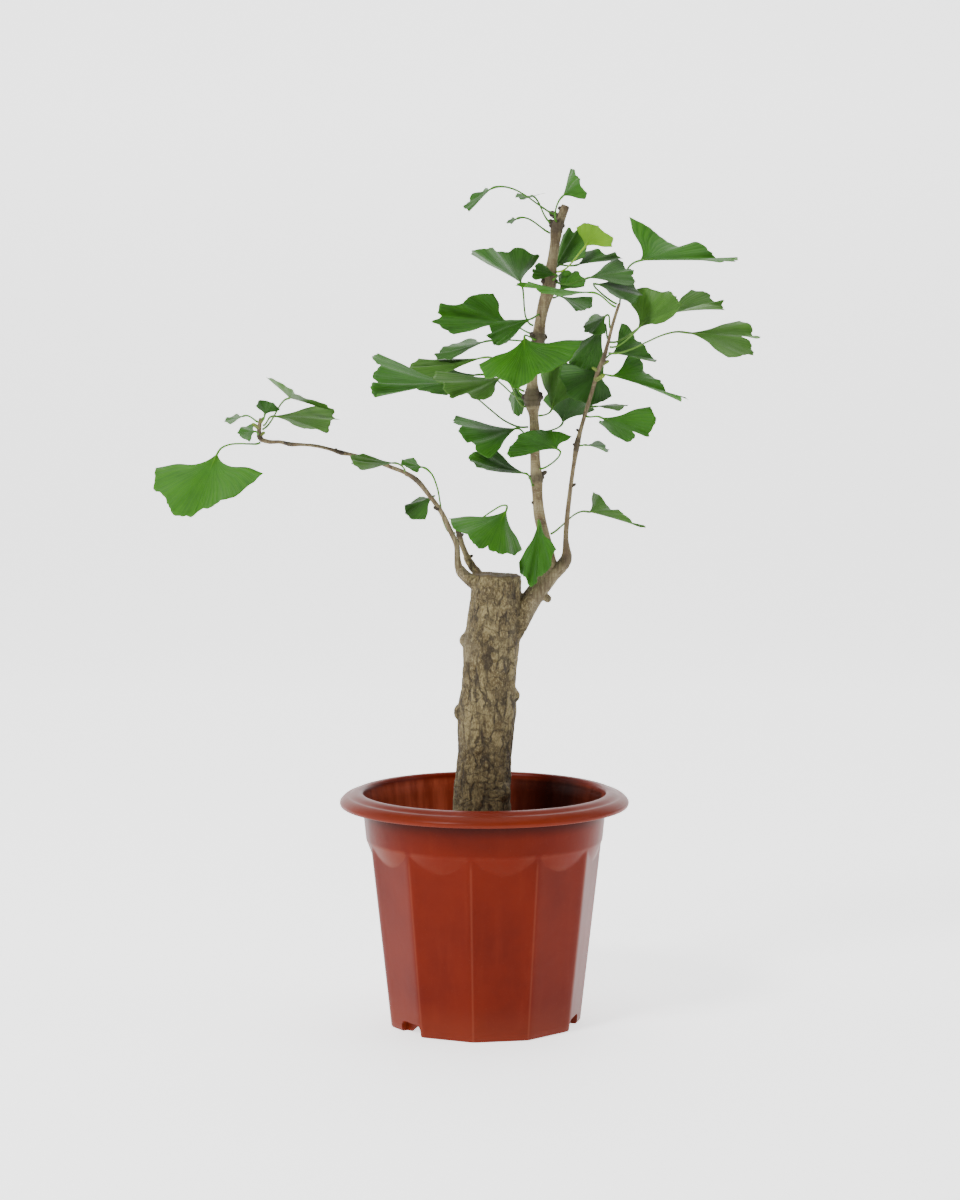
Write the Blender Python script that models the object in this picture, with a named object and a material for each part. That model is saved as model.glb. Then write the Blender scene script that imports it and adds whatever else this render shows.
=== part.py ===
"""Potted ginkgo: a cut-back ginkgo with young shoots in a plastic nursery pot.

Metres, +Z up. The origin is on the pot's axis, on the surface it rests on.
+X is to the right as seen from the front, which is -Y.
Every leaf is one solid: its stalk and its fan-shaped blade.
"""
import math

import bmesh
import bpy
from mathutils import Vector

for old in list(bpy.data.objects):
    bpy.data.objects.remove(old, do_unlink=True)

MM = 0.001
GAP = 0.3 * MM

# pot
POT_HEIGHT = 162 * MM
LIP_RADIUS = 100 * MM
LIP_DROP = 7.5 * MM
MOUTH_RADIUS = 86.5 * MM
COLLAR_RADIUS = 84 * MM
COLLAR_DEPTH = 33 * MM
FOOT_RADIUS = 67.5 * MM
WALL = 2.0 * MM
FACETS = 11
CREASE_ANGLE = math.radians(-6.5)
LEDGE_SLOPE = 0.34
FLOOR_RISE = 8.5 * MM
FLOOR_WALL = 2.4 * MM
PAD_RADIUS = 30 * MM
FOOT_WIDTH = 5 * MM
NOTCH_ANGLES = (-50, 70, 190)
NOTCH_WIDTH = 23 * MM
NOTCH_HEIGHT = 8 * MM
DRAIN_RADIUS = 4.5 * MM
DRAIN_COUNT = 6

# soil and plant
SOIL_DROP = 39 * MM
SOIL_MOUND = 3 * MM
PLANT_HEIGHT = 469 * MM
TRUNK_SWELL = 1.0
LEAF_THICKNESS = 0.8 * MM
STALK_RADIUS = 0.65 * MM

SOIL_TOP = POT_HEIGHT - SOIL_DROP
PLANT_UNIT = PLANT_HEIGHT / (469 * MM)


def material(name, colour, roughness):
    """One Principled material."""
    mat = bpy.data.materials.new(name)
    mat.use_nodes = True
    shader = mat.node_tree.nodes["Principled BSDF"]
    shader.inputs["Base Color"].default_value = (*colour, 1)
    shader.inputs["Roughness"].default_value = roughness
    shader.inputs["Metallic"].default_value = 0
    return mat


def add_object(name, bm, colour, roughness, flat_angle=40):
    """Turn a bmesh into a named object with its own material, faces pointing out."""
    bmesh.ops.recalc_face_normals(bm, faces=bm.faces)
    mesh = bpy.data.meshes.new(name)
    bm.to_mesh(mesh)
    bm.free()
    obj = bpy.data.objects.new(name, mesh)
    bpy.context.scene.collection.objects.link(obj)
    mesh.materials.append(material(name, colour, roughness))
    mesh.shade_smooth()
    mesh.set_sharp_from_angle(angle=math.radians(flat_angle))
    return obj


def cut(obj, cutter):
    """Boolean difference with a hidden cutter."""
    cutter.hide_render = True
    cutter.display_type = "WIRE"
    mod = obj.modifiers.new(cutter.name, "BOOLEAN")
    mod.operation = "DIFFERENCE"
    mod.solver = "EXACT"
    mod.object = cutter


def join_rings(bm, lower, upper, triangles=False):
    """Quads between two rings of the same length, or triangles that always split the same way."""
    count = len(lower)
    for i in range(count):
        j = (i + 1) % count
        if triangles:
            bm.faces.new((lower[i], lower[j], upper[j]))
            bm.faces.new((lower[i], upper[j], upper[i]))
        else:
            bm.faces.new((lower[i], lower[j], upper[j], upper[i]))


# ---------------------------------------------------------------- pot
PER_FACET = 4
TURN = FACETS * PER_FACET


def body_radius(z):
    """Radius of the creases of the pot's outside at height z."""
    line = POT_HEIGHT - COLLAR_DEPTH
    if z >= line:
        low = FOOT_RADIUS + (COLLAR_RADIUS - FOOT_RADIUS) * 0.88
        return low + (COLLAR_RADIUS - low) * min(1, (z - line) / (COLLAR_DEPTH * 0.6))
    return FOOT_RADIUS + (COLLAR_RADIUS - FOOT_RADIUS) * 0.88 * z / line


def facet_recess(index, z):
    """How far the flat facet lies inside the round body at one of the TURN directions."""
    local = (index % PER_FACET) / PER_FACET - 0.5
    half = math.pi / FACETS
    chord = 1 - math.cos(half) / math.cos(2 * half * local)
    full = body_radius(z) * chord
    line = POT_HEIGHT - COLLAR_DEPTH
    return max(0, min(full, LEDGE_SLOPE * (line - z)))


def pot_ring(bm, radius, z, faceted=0.0, recess_z=None):
    """One ring of the pot; faceted is 1 where the wall follows the facets."""
    verts = []
    for i in range(TURN):
        angle = CREASE_ANGLE + 2 * math.pi * i / TURN - math.pi / 2
        r = radius - faceted * facet_recess(i, z if recess_z is None else recess_z)
        verts.append(bm.verts.new((r * math.cos(angle), r * math.sin(angle), z)))
    return verts


def wall_heights():
    """Heights of the rings of the wall, closer together where the ledges are."""
    line = POT_HEIGHT - COLLAR_DEPTH
    steps = [line + COLLAR_DEPTH * 0.6, line + 2 * MM, line]
    steps += [line - d * MM for d in (2.5, 5, 7.5, 10.5, 14)]
    steps += [line * f for f in (0.6, 0.3)]
    return steps


def build_pot():
    bm = bmesh.new()
    top = POT_HEIGHT
    lip = LIP_RADIUS - MOUTH_RADIUS
    rings = []
    # under the pot, from the pad outwards
    slope = FLOOR_RISE * 0.8
    rings.append(pot_ring(bm, PAD_RADIUS, 0))
    pad = rings[0]
    rings.append(pot_ring(bm, PAD_RADIUS + slope, FLOOR_RISE))
    rings.append(pot_ring(bm, FOOT_RADIUS - FOOT_WIDTH - 1 * MM, FLOOR_RISE, 1, 0))
    rings.append(pot_ring(bm, FOOT_RADIUS - FOOT_WIDTH, 0, 1, 0))
    rings.append(pot_ring(bm, FOOT_RADIUS - 1.2 * MM, 0, 1, 0))
    rings.append(pot_ring(bm, body_radius(1.2 * MM), 1.2 * MM, 1))
    # outside of the wall, upwards
    for z in reversed(wall_heights()):
        rings.append(pot_ring(bm, body_radius(z), z, 1))
    # lip: up its underside, round its edge and in over the top
    for out, drop in ((-0.1, 0.55), (0.25, 0.45), (0.6, 0.62), (0.86, 1.15), (0.965, 1.28)):
        rings.append(pot_ring(bm, MOUTH_RADIUS + lip * out, top - LIP_DROP * drop))
    for out, drop in ((1.0, 1.0), (0.9, 0.66), (0.62, 0.34), (0.55, 0.34), (0.25, 0.08), (0.0, 0.0)):
        rings.append(pot_ring(bm, MOUTH_RADIUS + lip * out, top - LIP_DROP * drop))
    rings.append(pot_ring(bm, MOUTH_RADIUS - 2.2 * MM, top - 1.2 * MM))
    rings.append(pot_ring(bm, COLLAR_RADIUS - WALL, top - 0.22 * COLLAR_DEPTH))
    # inside of the wall, downwards
    for z in wall_heights():
        rings.append(pot_ring(bm, body_radius(z) - WALL, z, 1))
    floor = FLOOR_RISE + FLOOR_WALL
    rings.append(pot_ring(bm, body_radius(floor) - WALL - 1 * MM, floor, 1))
    rings.append(pot_ring(bm, PAD_RADIUS + slope, floor))
    rings.append(pot_ring(bm, PAD_RADIUS, FLOOR_WALL))
    for lower, upper in zip(rings, rings[1:]):
        join_rings(bm, lower, upper)
    bm.faces.new(reversed(pad))
    bm.faces.new(rings[-1])
    pot = add_object("pot", bm, (0.25, 0.035, 0.02), 0.3, 25)
    for number, degrees in enumerate(NOTCH_ANGLES):
        bm = bmesh.new()
        bmesh.ops.create_cube(bm, size=1)
        bmesh.ops.scale(bm, vec=(NOTCH_WIDTH, 16 * MM, NOTCH_HEIGHT + 4 * MM), verts=bm.verts)
        edges = [e for e in bm.edges if abs(e.verts[0].co.x - e.verts[1].co.x) < 1e-6]
        edges = [e for e in edges if abs(e.verts[0].co.z - e.verts[1].co.z) < 1e-6]
        edges = [e for e in edges if e.verts[0].co.z > 0]
        bmesh.ops.bevel(bm, geom=edges, offset=3 * MM, segments=2, affect="EDGES")
        notch = add_object(f"notch_cutter_{number + 1}", bm, (1, 0, 0), 0.5)
        angle = math.radians(degrees - 90)
        middle = FOOT_RADIUS
        notch.location = (middle * math.cos(angle), middle * math.sin(angle), NOTCH_HEIGHT / 2 - 2 * MM)
        notch.rotation_euler = (0, 0, math.radians(degrees))
        cut(pot, notch)
    ring_radius = (PAD_RADIUS + slope + FOOT_RADIUS - FOOT_WIDTH) / 2
    for number in range(DRAIN_COUNT):
        bm = bmesh.new()
        bmesh.ops.create_cone(bm, cap_ends=True, segments=10, radius1=DRAIN_RADIUS, radius2=DRAIN_RADIUS,
                              depth=20 * MM)
        drain = add_object(f"drain_cutter_{number + 1}", bm, (1, 0, 0), 0.5)
        angle = math.radians(NOTCH_ANGLES[0] - 90 + 360 * number / DRAIN_COUNT)
        drain.location = (ring_radius * math.cos(angle), ring_radius * math.sin(angle), FLOOR_RISE)
        cut(pot, drain)
    return pot


# ---------------------------------------------------------------- wood
def plant_point(x, y, z):
    """A point of the plant, in millimetres from the middle of the soil's top, in metres."""
    return Vector((x * PLANT_UNIT * MM, y * PLANT_UNIT * MM, SOIL_TOP + z * PLANT_UNIT * MM))


class Stem:
    """A length of wood: (x, y, z, radius) in millimetres from the soil's top."""

    def __init__(self, points, sides, rough=0.0, stretch=1):
        self.sides = sides
        self.rough = rough
        self.centres = [plant_point(*p[:3]) for p in points]
        self.radii = [p[3] * MM * PLANT_UNIT * stretch for p in points]

    def frames(self):
        """A right-angled frame at each point, carried along without twist."""
        centres = self.centres
        across = Vector((0, 1, 0))
        out = []
        for i, centre in enumerate(centres):
            before = centres[max(0, i - 1)]
            after = centres[min(len(centres) - 1, i + 1)]
            along = (after - before).normalized()
            across = (across - along * across.dot(along)).normalized()
            out.append((centre, across, along.cross(across), along))
        return out

    def mesh(self, extra=0.0):
        """The closed wood, or a copy that is larger all round by extra."""
        bm = bmesh.new()
        rings = []
        frames = self.frames()
        for i, (centre, across, side, along) in enumerate(frames):
            ring = []
            if extra and i == len(frames) - 1:
                centre = centre + along * extra
            if extra and i == 0:
                centre = centre - along * extra
            for k in range(self.sides):
                turn = 2 * math.pi * k / self.sides
                bump = 1 + self.rough * math.sin(3 * turn + 1.3 * i) + self.rough * 0.6 * math.cos(5 * turn - 2 * i)
                r = self.radii[i] * bump + extra * 1.06
                ring.append(bm.verts.new(centre + across * (r * math.cos(turn)) + side * (r * math.sin(turn))))
            rings.append(ring)
        for lower, upper in zip(rings, rings[1:]):
            join_rings(bm, lower, upper, True)
        bm.faces.new(rings[0])
        bm.faces.new(rings[-1])
        return bm

    def nearest(self, point):
        """The nearest point of the stem's centre line, with its radius and direction."""
        best = None
        for i in range(len(self.centres) - 1):
            start = self.centres[i]
            step = self.centres[i + 1] - start
            t = max(0, min(1, (point - start).dot(step) / step.length_squared))
            centre = start + step * t
            radius = self.radii[i] * (1 - t) + self.radii[i + 1] * t
            gap = (point - centre).length
            if best is None or gap < best[0]:
                best = (gap, centre, radius, step.normalized())
        return best[1:]


TRUNK = Stem([
    (-4, 0, -64, 17.5), (-3.5, 0, -40, 20), (-3, 0, -12, 20.8), (-2, 0, 16, 20.5), (-1.5, 0, 40, 19.8),
    (0, 0, 64, 18.7), (1, 0, 82, 19.6), (2, 0, 97, 20.2), (3, 0, 110, 18.9), (3.8, 0, 126, 18.4),
    (4.6, 0, 140, 19.4), (6, 0, 153, 18.2), (7.6, 0, 170, 17.6), (8.6, 0, 189.5, 17.4),
], 16, 0.022, TRUNK_SWELL)
RIGHT_STEM = Stem([
    (13, 0, 141, 9), (24, 0, 159, 8), (33, 0, 173, 7), (41, 0, 184.5, 6.2), (45.5, 0, 193, 6),
    (44.5, 0, 200, 5), (42.5, 0, 210, 4.3), (38.5, 1, 227, 4.2), (36, 1, 250, 4), (35.7, 1, 255, 4.6),
    (35.3, 1, 260, 4), (34.4, 1, 288, 3.7), (33.4, 1, 301, 4), (33, 1, 306, 6), (33, 1, 314, 5.6),
    (33, 1, 320, 4), (35.8, 1, 342, 3.9), (37, 1, 351, 5), (37.6, 1, 357, 4.2), (41.3, 1, 377, 4.4),
    (43.8, 1, 385, 5), (44.8, 1, 393, 4.9), (46, 1, 401, 4), (48, 1, 416, 3.7), (49.5, 1, 427, 4.6),
    (53, 1, 435, 3.3), (55.2, 1, 440.5, 3.1),
], 9, 0.02)
SIDE_SHOOT = Stem([
    (45, -1, 190, 4), (51, -2, 196, 4), (56.5, -3, 201.5, 4.2), (56.4, -4, 207, 3), (55.9, -5, 213, 2.2),
    (56.5, -6, 227, 2), (58.5, -8, 246, 1.8), (61.5, -10, 269, 1.8), (63, -11, 279, 2.4), (65, -12, 287, 1.7),
    (68.8, -14, 301, 1.6), (73, -15, 315, 1.5), (77.5, -17, 330, 1.8), (80.5, -18, 337, 1.9), (83, -19, 346, 1.5),
    (87, -21, 362, 1.3), (90.8, -22, 374, 1.2),
], 7, 0.02)
LEFT_BRANCH = Stem([
    (-4, -4, 180, 4.6), (-11.5, -6, 187.5, 4.4), (-17.6, -7, 195, 3.4), (-18.5, -7, 201, 2.6), (-18.8, -8, 209, 2.3),
    (-23.7, -8, 221, 2.2), (-29.6, -9, 233, 2.1), (-37.8, -10, 244.5, 2), (-47, -11, 255.5, 2.3),
    (-54, -12, 260, 1.8), (-63, -13, 263.5, 1.7), (-77, -15, 269, 1.6), (-92, -18, 273, 1.5), (-97.4, -19, 274, 2),
    (-103, -20, 275.8, 1.5), (-114, -22, 278.6, 1.4), (-125, -25, 279.8, 1.4), (-131, -26, 280, 1.9),
    (-138, -28, 281.6, 1.5), (-146, -29, 281.8, 1.8), (-151.5, -30, 284, 2), (-152, -30, 291, 1.8), (-151, -30, 297, 1.5),
], 7, 0.02)
LEFT_TWIG = Stem([
    (2, 5, 178, 3.9), (-4.5, 6, 188, 3.5), (-8.5, 6.5, 194, 3), (-12.5, 7, 202, 2.6), (-15.6, 7, 210, 2.3),
    (-17.6, 7, 217, 2.6), (-18.5, 7, 221, 1.8),
], 7, 0.02)

BARK = (0.16, 0.12, 0.075)
LEADER_BARK = (0.2, 0.13, 0.08)


def build_wood():
    trunk = add_object("trunk", TRUNK.mesh(), BARK, 0.9, 50)
    right = add_object("right_stem", RIGHT_STEM.mesh(), LEADER_BARK, 0.8, 50)
    shoot = add_object("side_shoot", SIDE_SHOOT.mesh(), LEADER_BARK, 0.75, 50)
    branch = add_object("left_branch", LEFT_BRANCH.mesh(), LEADER_BARK, 0.75, 50)
    twig = add_object("left_twig", LEFT_TWIG.mesh(), LEADER_BARK, 0.75, 50)
    trunk_room = add_object("trunk_room", TRUNK.mesh(GAP), BARK, 0.9)
    cut(right, trunk_room)
    cut(branch, trunk_room)
    cut(twig, trunk_room)
    right_room = add_object("right_stem_room", RIGHT_STEM.mesh(GAP), BARK, 0.9)
    cut(shoot, right_room)
    branch_room = add_object("left_branch_room", LEFT_BRANCH.mesh(GAP), BARK, 0.9)
    cut(twig, branch_room)
    return trunk_room


def build_soil(trunk_room):
    """Soil that fills the pot up to SOIL_TOP, with the trunk's foot cut out of it."""
    bm = bmesh.new()
    top = SOIL_TOP
    floor = FLOOR_RISE + FLOOR_WALL + GAP
    inset = WALL + 2 * GAP
    slope = FLOOR_RISE * 0.8
    rings = [pot_ring(bm, PAD_RADIUS - 1 * MM, FLOOR_WALL + 2 * GAP)]
    rings.append(pot_ring(bm, PAD_RADIUS + slope - 0.5 * MM, floor))
    rings.append(pot_ring(bm, body_radius(floor) - inset - 1.5 * MM, floor, 1))
    heights = [z for z in reversed(wall_heights()) if z < top - 1 * MM] + [top - 1 * MM]
    for z in heights:
        rings.append(pot_ring(bm, body_radius(z) - inset, z, 1))
    rings.append(pot_ring(bm, body_radius(top) - inset - 4 * MM, top + SOIL_MOUND * 0.1, 1))
    rings.append(pot_ring(bm, body_radius(top) * 0.62, top + SOIL_MOUND * 0.7))
    rings.append(pot_ring(bm, body_radius(top) * 0.12, top + SOIL_MOUND))
    for lower, upper in zip(rings, rings[1:]):
        join_rings(bm, lower, upper)
    bm.faces.new(reversed(rings[0]))
    bm.faces.new(rings[-1])
    soil = add_object("soil", bm, (0.035, 0.022, 0.014), 0.95)
    cut(soil, trunk_room)


# ---------------------------------------------------------------- leaves
BRIGHT = (0.11, 0.33, 0.025)
MID = (0.05, 0.2, 0.02)
DARK = (0.03, 0.12, 0.012)
PALE = (0.09, 0.22, 0.05)
YELLOW = (0.25, 0.48, 0.05)


def bezier(a, b, c, d, t):
    s = 1 - t
    return a * s ** 3 + b * (3 * s * s * t) + c * (3 * s * t * t) + d * t ** 3


def stitch(bm, near, near_angles, far, far_angles):
    """Triangles between two rings of different length whose angles both fall."""
    i = 0
    j = 0
    while i < len(near) or j < len(far):
        next_near = near_angles[i + 1] if i + 1 < len(near) else near_angles[0] - 2 * math.pi
        next_far = far_angles[j + 1] if j + 1 < len(far) else far_angles[0] - 2 * math.pi
        step_near = i < len(near) and (j >= len(far) or next_near >= next_far)
        a = near[i % len(near)]
        b = far[j % len(far)]
        if step_near:
            bm.faces.new((a, b, near[(i + 1) % len(near)]))
            i += 1
        else:
            bm.faces.new((a, b, far[(j + 1) % len(far)]))
            j += 1


def leaf(name, stem, root, base, left, middle, right, colour=MID, notch=0.12, bow=0.06, wave=0.05, lift=0):
    """One leaf: a thin stalk from the stem to base, and a fan through three points of its margin.

    All points are in millimetres from the soil's top. notch is the depth of the cleft in the
    middle of the margin, bow how far the blade bulges, wave how much it ripples, each as a share
    of the blade's length; lift raises the middle of the stalk, in millimetres.
    """
    blade = plant_point(*base)
    corners = [plant_point(*p) - blade for p in (left, middle, right)]
    size = max(c.length for c in corners)
    forward = (corners[0] + corners[1] * 2 + corners[2]).normalized()
    columns = 9 if size > 26 * MM else 7

    def margin(u):
        return corners[0] * (u * (u - 1) / 2) + corners[1] * (1 - u * u) + corners[2] * (u * (u + 1) / 2)

    spread = corners[2] - corners[0]
    face = spread.cross(forward).normalized()

    def surface(u, v):
        narrow = 0.6 + 0.4 * min(1, v * 1.6) ** 0.8
        reach = 1 - notch * v ** 3 * math.exp(-(u / 0.16) ** 2)
        reach += wave * v ** 3 * math.cos(9 * u + 20 * size)
        ripple = wave * size * v * v * math.sin(7 * u + 35 * size)
        lens = bow * size * 4 * v * (1 - 0.5 * v)
        return blade + margin(u * narrow) * (v * reach) + face * (ripple + lens * 0.5)

    bm = bmesh.new()
    centre, radius, along = stem.nearest(plant_point(*root))
    out = blade - centre
    out = (out - along * out.dot(along)).normalized()
    start = centre + out * (radius * 1.02 + GAP)
    length = (blade - start).length
    raise_by = Vector((0, 0, lift * MM))
    path = [start, start + out * (length * 0.3) + raise_by, blade - forward * (length * 0.35) + raise_by, blade]
    side = (spread - forward * spread.dot(forward)).normalized()
    rings = []
    stations = [0.08, 0.3, 0.5, 0.7, 0.87, 1.0]
    for t in stations:
        here = bezier(*path, t)
        ahead = bezier(*path, min(1, t + 0.02)) - bezier(*path, t - 0.02)
        ahead.normalize()
        wide = (side - ahead * side.dot(ahead)).normalized()
        high = wide.cross(ahead)
        r = STALK_RADIUS * (1 + 0.35 * (2 * t - 1) ** 2)
        ring = []
        for k in range(5):
            angle = math.pi - 2 * math.pi * k / 5
            ring.append(bm.verts.new(here + wide * (r * math.cos(angle)) + high * (r * math.sin(angle))))
        rings.append(ring)
    tip = bm.verts.new(start)
    for k in range(5):
        bm.faces.new((tip, rings[0][k], rings[0][(k + 1) % 5]))
    for lower, upper in zip(rings, rings[1:]):
        join_rings(bm, lower, upper)

    us = [-1 + 2 * i / (columns - 1) for i in range(columns)]
    loops = []
    for v in (0.13, 0.38, 0.66, 0.88):
        upper = []
        lower = []
        for u in us:
            middle_point = surface(u, v)
            du = surface(u + 0.02, v) - surface(u - 0.02, v)
            dv = surface(u, v + 0.02) - surface(u, v - 0.02)
            normal = du.cross(dv).normalized()
            half = LEAF_THICKNESS / 2
            upper.append(bm.verts.new(middle_point + normal * half))
            lower.append(bm.verts.new(middle_point - normal * half))
        loops.append(upper + lower[::-1])
    turn = math.pi - 2 * math.pi / 5
    ring_angles = [math.pi - 2 * math.pi * k / 5 for k in range(5)]
    tilt = 0.04
    loop_angles = [math.pi - tilt - (math.pi - 2 * tilt) * (u + 1) / 2 for u in us]
    loop_angles += [a - math.pi for a in loop_angles]
    stitch(bm, rings[-1], ring_angles, loops[0], loop_angles)
    for lower, upper in zip(loops, loops[1:]):
        join_rings(bm, lower, upper)
    edge = [bm.verts.new(surface(u, 1.0)) for u in us]
    last = loops[-1]
    for i in range(columns - 1):
        bm.faces.new((last[i], last[i + 1], edge[i + 1], edge[i]))
        below = 2 * columns - 1 - i
        bm.faces.new((last[below - 1], last[below], edge[i], edge[i + 1]))
    bm.faces.new((last[-1], last[0], edge[0]))
    bm.faces.new((last[columns - 1], last[columns], edge[-1]))
    return add_object(name, bm, colour, 0.45, 60)


def build_left_leaves():
    """Leaves of the long left branch and of the short twig beside it."""
    stem = LEFT_BRANCH
    leaf("leaf_left_01", stem, (-151, -30, 282), (-180, -36, 274), (-222, -42, 271), (-199, -74, 239),
         (-148, -56, 268), BRIGHT, 0.05, 0.1, lift=5)
    leaf("leaf_left_02", stem, (-152, -30, 295), (-163, -24, 299), (-169, -8, 301), (-177, -20, 297),
         (-171, -40, 296), MID, 0.1, lift=1)
    leaf("leaf_left_03", stem, (-152, -30, 287), (-154, -36, 289), (-157, -21, 295), (-166, -38, 290),
         (-157, -53, 284), MID, 0.05)
    leaf("leaf_left_04", stem, (-151, -30, 297), (-148, -33, 300), (-154, -46, 307), (-148, -40, 311),
         (-139, -25, 304), MID, 0.08)
    leaf("leaf_left_05", stem, (-151, -30, 293), (-143, -29, 299), (-110, -10, 303), (-100, -27, 293),
         (-120, -52, 286), PALE, 0.05)
    leaf("leaf_left_06", stem, (-151, -30, 290), (-132, -21, 311), (-147, -5, 326), (-123, -36, 315),
         (-99, -30, 303), PALE, 0.3, lift=3)
    leaf("leaf_left_07", stem, (-55, -12, 260), (-60, -21, 267), (-82, -22, 276), (-91, -36, 272),
         (-80, -50, 267), PALE, 0.15)
    leaf("leaf_left_08", LEFT_TWIG, (-18, 7, 218), (-42, 1, 263), (-49, 14, 270), (-58, 4, 267),
         (-46, -5, 261), MID, 0.1)
    leaf("leaf_left_09", stem, (-36, -10, 243), (-35, 0, 243), (-46, 12, 243), (-57, 2, 233),
         (-42, -4, 228), DARK, 0.1)


def build_fork_leaves():
    """Leaves around the fork and on the lower part of the leader."""
    leader = RIGHT_STEM
    leaf("leaf_fork_01", LEFT_TWIG, (-17, 7, 217), (15, -8, 234), (-22, -22, 235), (2, -48, 212),
         (30, -17, 212), BRIGHT, 0.25, 0.12, lift=5)
    leaf("leaf_fork_02", leader, (41, 0, 218), (37, -10, 227), (20, -22, 203), (31, -34, 188),
         (46, -32, 212), MID, 0.08, 0.12)
    leaf("leaf_fork_03", leader, (41, 1, 216), (72, 6, 232), (76, 25, 242), (96, -10, 229),
         (113, -6, 218), PALE, 0.1, lift=2)
    leaf("leaf_leader_01", leader, (34, 1, 283), (22, -8, 290), (-19, 8, 303), (-14, -22, 288),
         (5, -34, 276), MID, 0.1, 0.1)
    leaf("leaf_leader_02", leader, (35.5, 1, 262), (50, -15, 276), (15, -38, 270), (27, -24, 288),
         (58, -7, 284), MID, 0.05, 0.05)
    leaf("leaf_leader_03", leader, (36, 1, 251), (29, -9, 259), (7, 8, 283), (-8, -10, 274),
         (3, -32, 268), DARK, 0.05, 0.12)
    leaf("leaf_leader_04", leader, (33, 1, 311), (20, 8, 320), (15, 22, 308), (23, 14, 296),
         (27, 9, 309), DARK, 0.1)
    leaf("leaf_leader_05", leader, (34, 1, 291), (-24, -8, 321), (-73, 16, 345), (-75, -14, 326),
         (-72, -38, 317), MID, 0.14, 0.05, lift=-2)
    leaf("leaf_leader_06", leader, (33, 1, 305), (12, -12, 325), (-32, -28, 333), (-22, -48, 317),
         (6, -36, 316), PALE, 0.05)
    leaf("leaf_leader_07", leader, (33, 1, 315), (0, 10, 338), (-32, 25, 341), (-53, 12, 334),
         (-38, 0, 327), PALE, 0.05, lift=2)
    leaf("leaf_leader_20", leader, (32.8, 1, 309), (-4, 22, 326), (-36, 34, 335), (-52, 30, 322),
         (-28, 22, 313), DARK, 0.05, lift=1)


def build_middle_leaves():
    """Leaves from the two scarred nodes half way up the leader."""
    leader = RIGHT_STEM
    leaf("leaf_leader_08", leader, (37, 1, 350), (27, -22, 352), (-5, -34, 340), (25, -60, 325),
         (68, -28, 356), BRIGHT, 0.1, 0.12)
    leaf("leaf_leader_09", leader, (37, 1, 348), (1, 12, 349), (-10, 35, 354), (-34, 24, 343),
         (-26, 6, 340), DARK, 0.06)
    leaf("leaf_leader_10", leader, (37, 1, 354), (18, 4, 361), (8, -8, 379), (-31, -18, 369),
         (-21, -4, 351), MID, 0.06, 0.08)
    leaf("leaf_leader_11", leader, (39, 1, 367), (33, -10, 365), (11, -40, 361), (3, -28, 350),
         (17, -14, 345), MID, 0.05)
    leaf("leaf_leader_12", leader, (38, 1, 359), (25, 2, 389), (-10, 4, 413), (12, -28, 414),
         (40, -9, 411), DARK, 0.05, 0.1)
    leaf("leaf_leader_13", leader, (45, 1, 391), (49, -9, 394), (39, -24, 401), (32, -17, 396),
         (36, -9, 389), MID, 0.1)
    leaf("leaf_leader_14", leader, (45, 1, 397), (47, 9, 397), (55, 26, 420), (67, 18, 424),
         (71, 4, 405), DARK, 0.06)
    leaf("leaf_leader_15", leader, (44, 1, 384), (51, -4, 383), (51, 8, 394), (64, -2, 396),
         (69, -12, 385), MID, 0.05)
    leaf("leaf_leader_16", leader, (42.5, 1, 380), (52, 4, 380), (56, 17, 376), (67, 11, 368),
         (74, -3, 377), DARK, 0.06)
    leaf("leaf_leader_17", leader, (45, 1, 397), (68, -13, 413), (64, -9, 426), (78, -18, 427),
         (89, -28, 412), YELLOW, 0.06, 0.1)
    leaf("leaf_leader_18", leader, (46, 1, 402), (63, 8, 401), (70, 20, 409), (91, 10, 407),
         (90, -2, 402), DARK, 0.06)
    leaf("leaf_leader_19", leader, (45, 1, 390), (70, -17, 392), (88, -2, 402), (101, -20, 394),
         (97, -37, 383), DARK, 0.05, lift=-3)


def build_top_leaves():
    """Young leaves of the spur at the leader's top."""
    leader = RIGHT_STEM
    leaf("leaf_top_01", leader, (50, 1, 434), (5, -20, 452), (0, -8, 455), (-12, -22, 445),
         (-12, -40, 438), MID, 0.1, lift=-1)
    leaf("leaf_top_02", leader, (49, 1, 428), (32, 5, 448), (22, 14, 451), (25, -3, 446),
         (42, 2, 451), MID, 0.1)
    leaf("leaf_top_03", leader, (50, 1, 430), (53, -9, 447), (60, 4, 466), (65, -16, 457),
         (70, -20, 443), BRIGHT, 0.0)
    leaf("leaf_top_04", leader, (49, 1, 422), (22, -9, 432), (19, -3, 434), (15, -11, 430),
         (18, -19, 429), MID, 0.0, lift=2)


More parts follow.
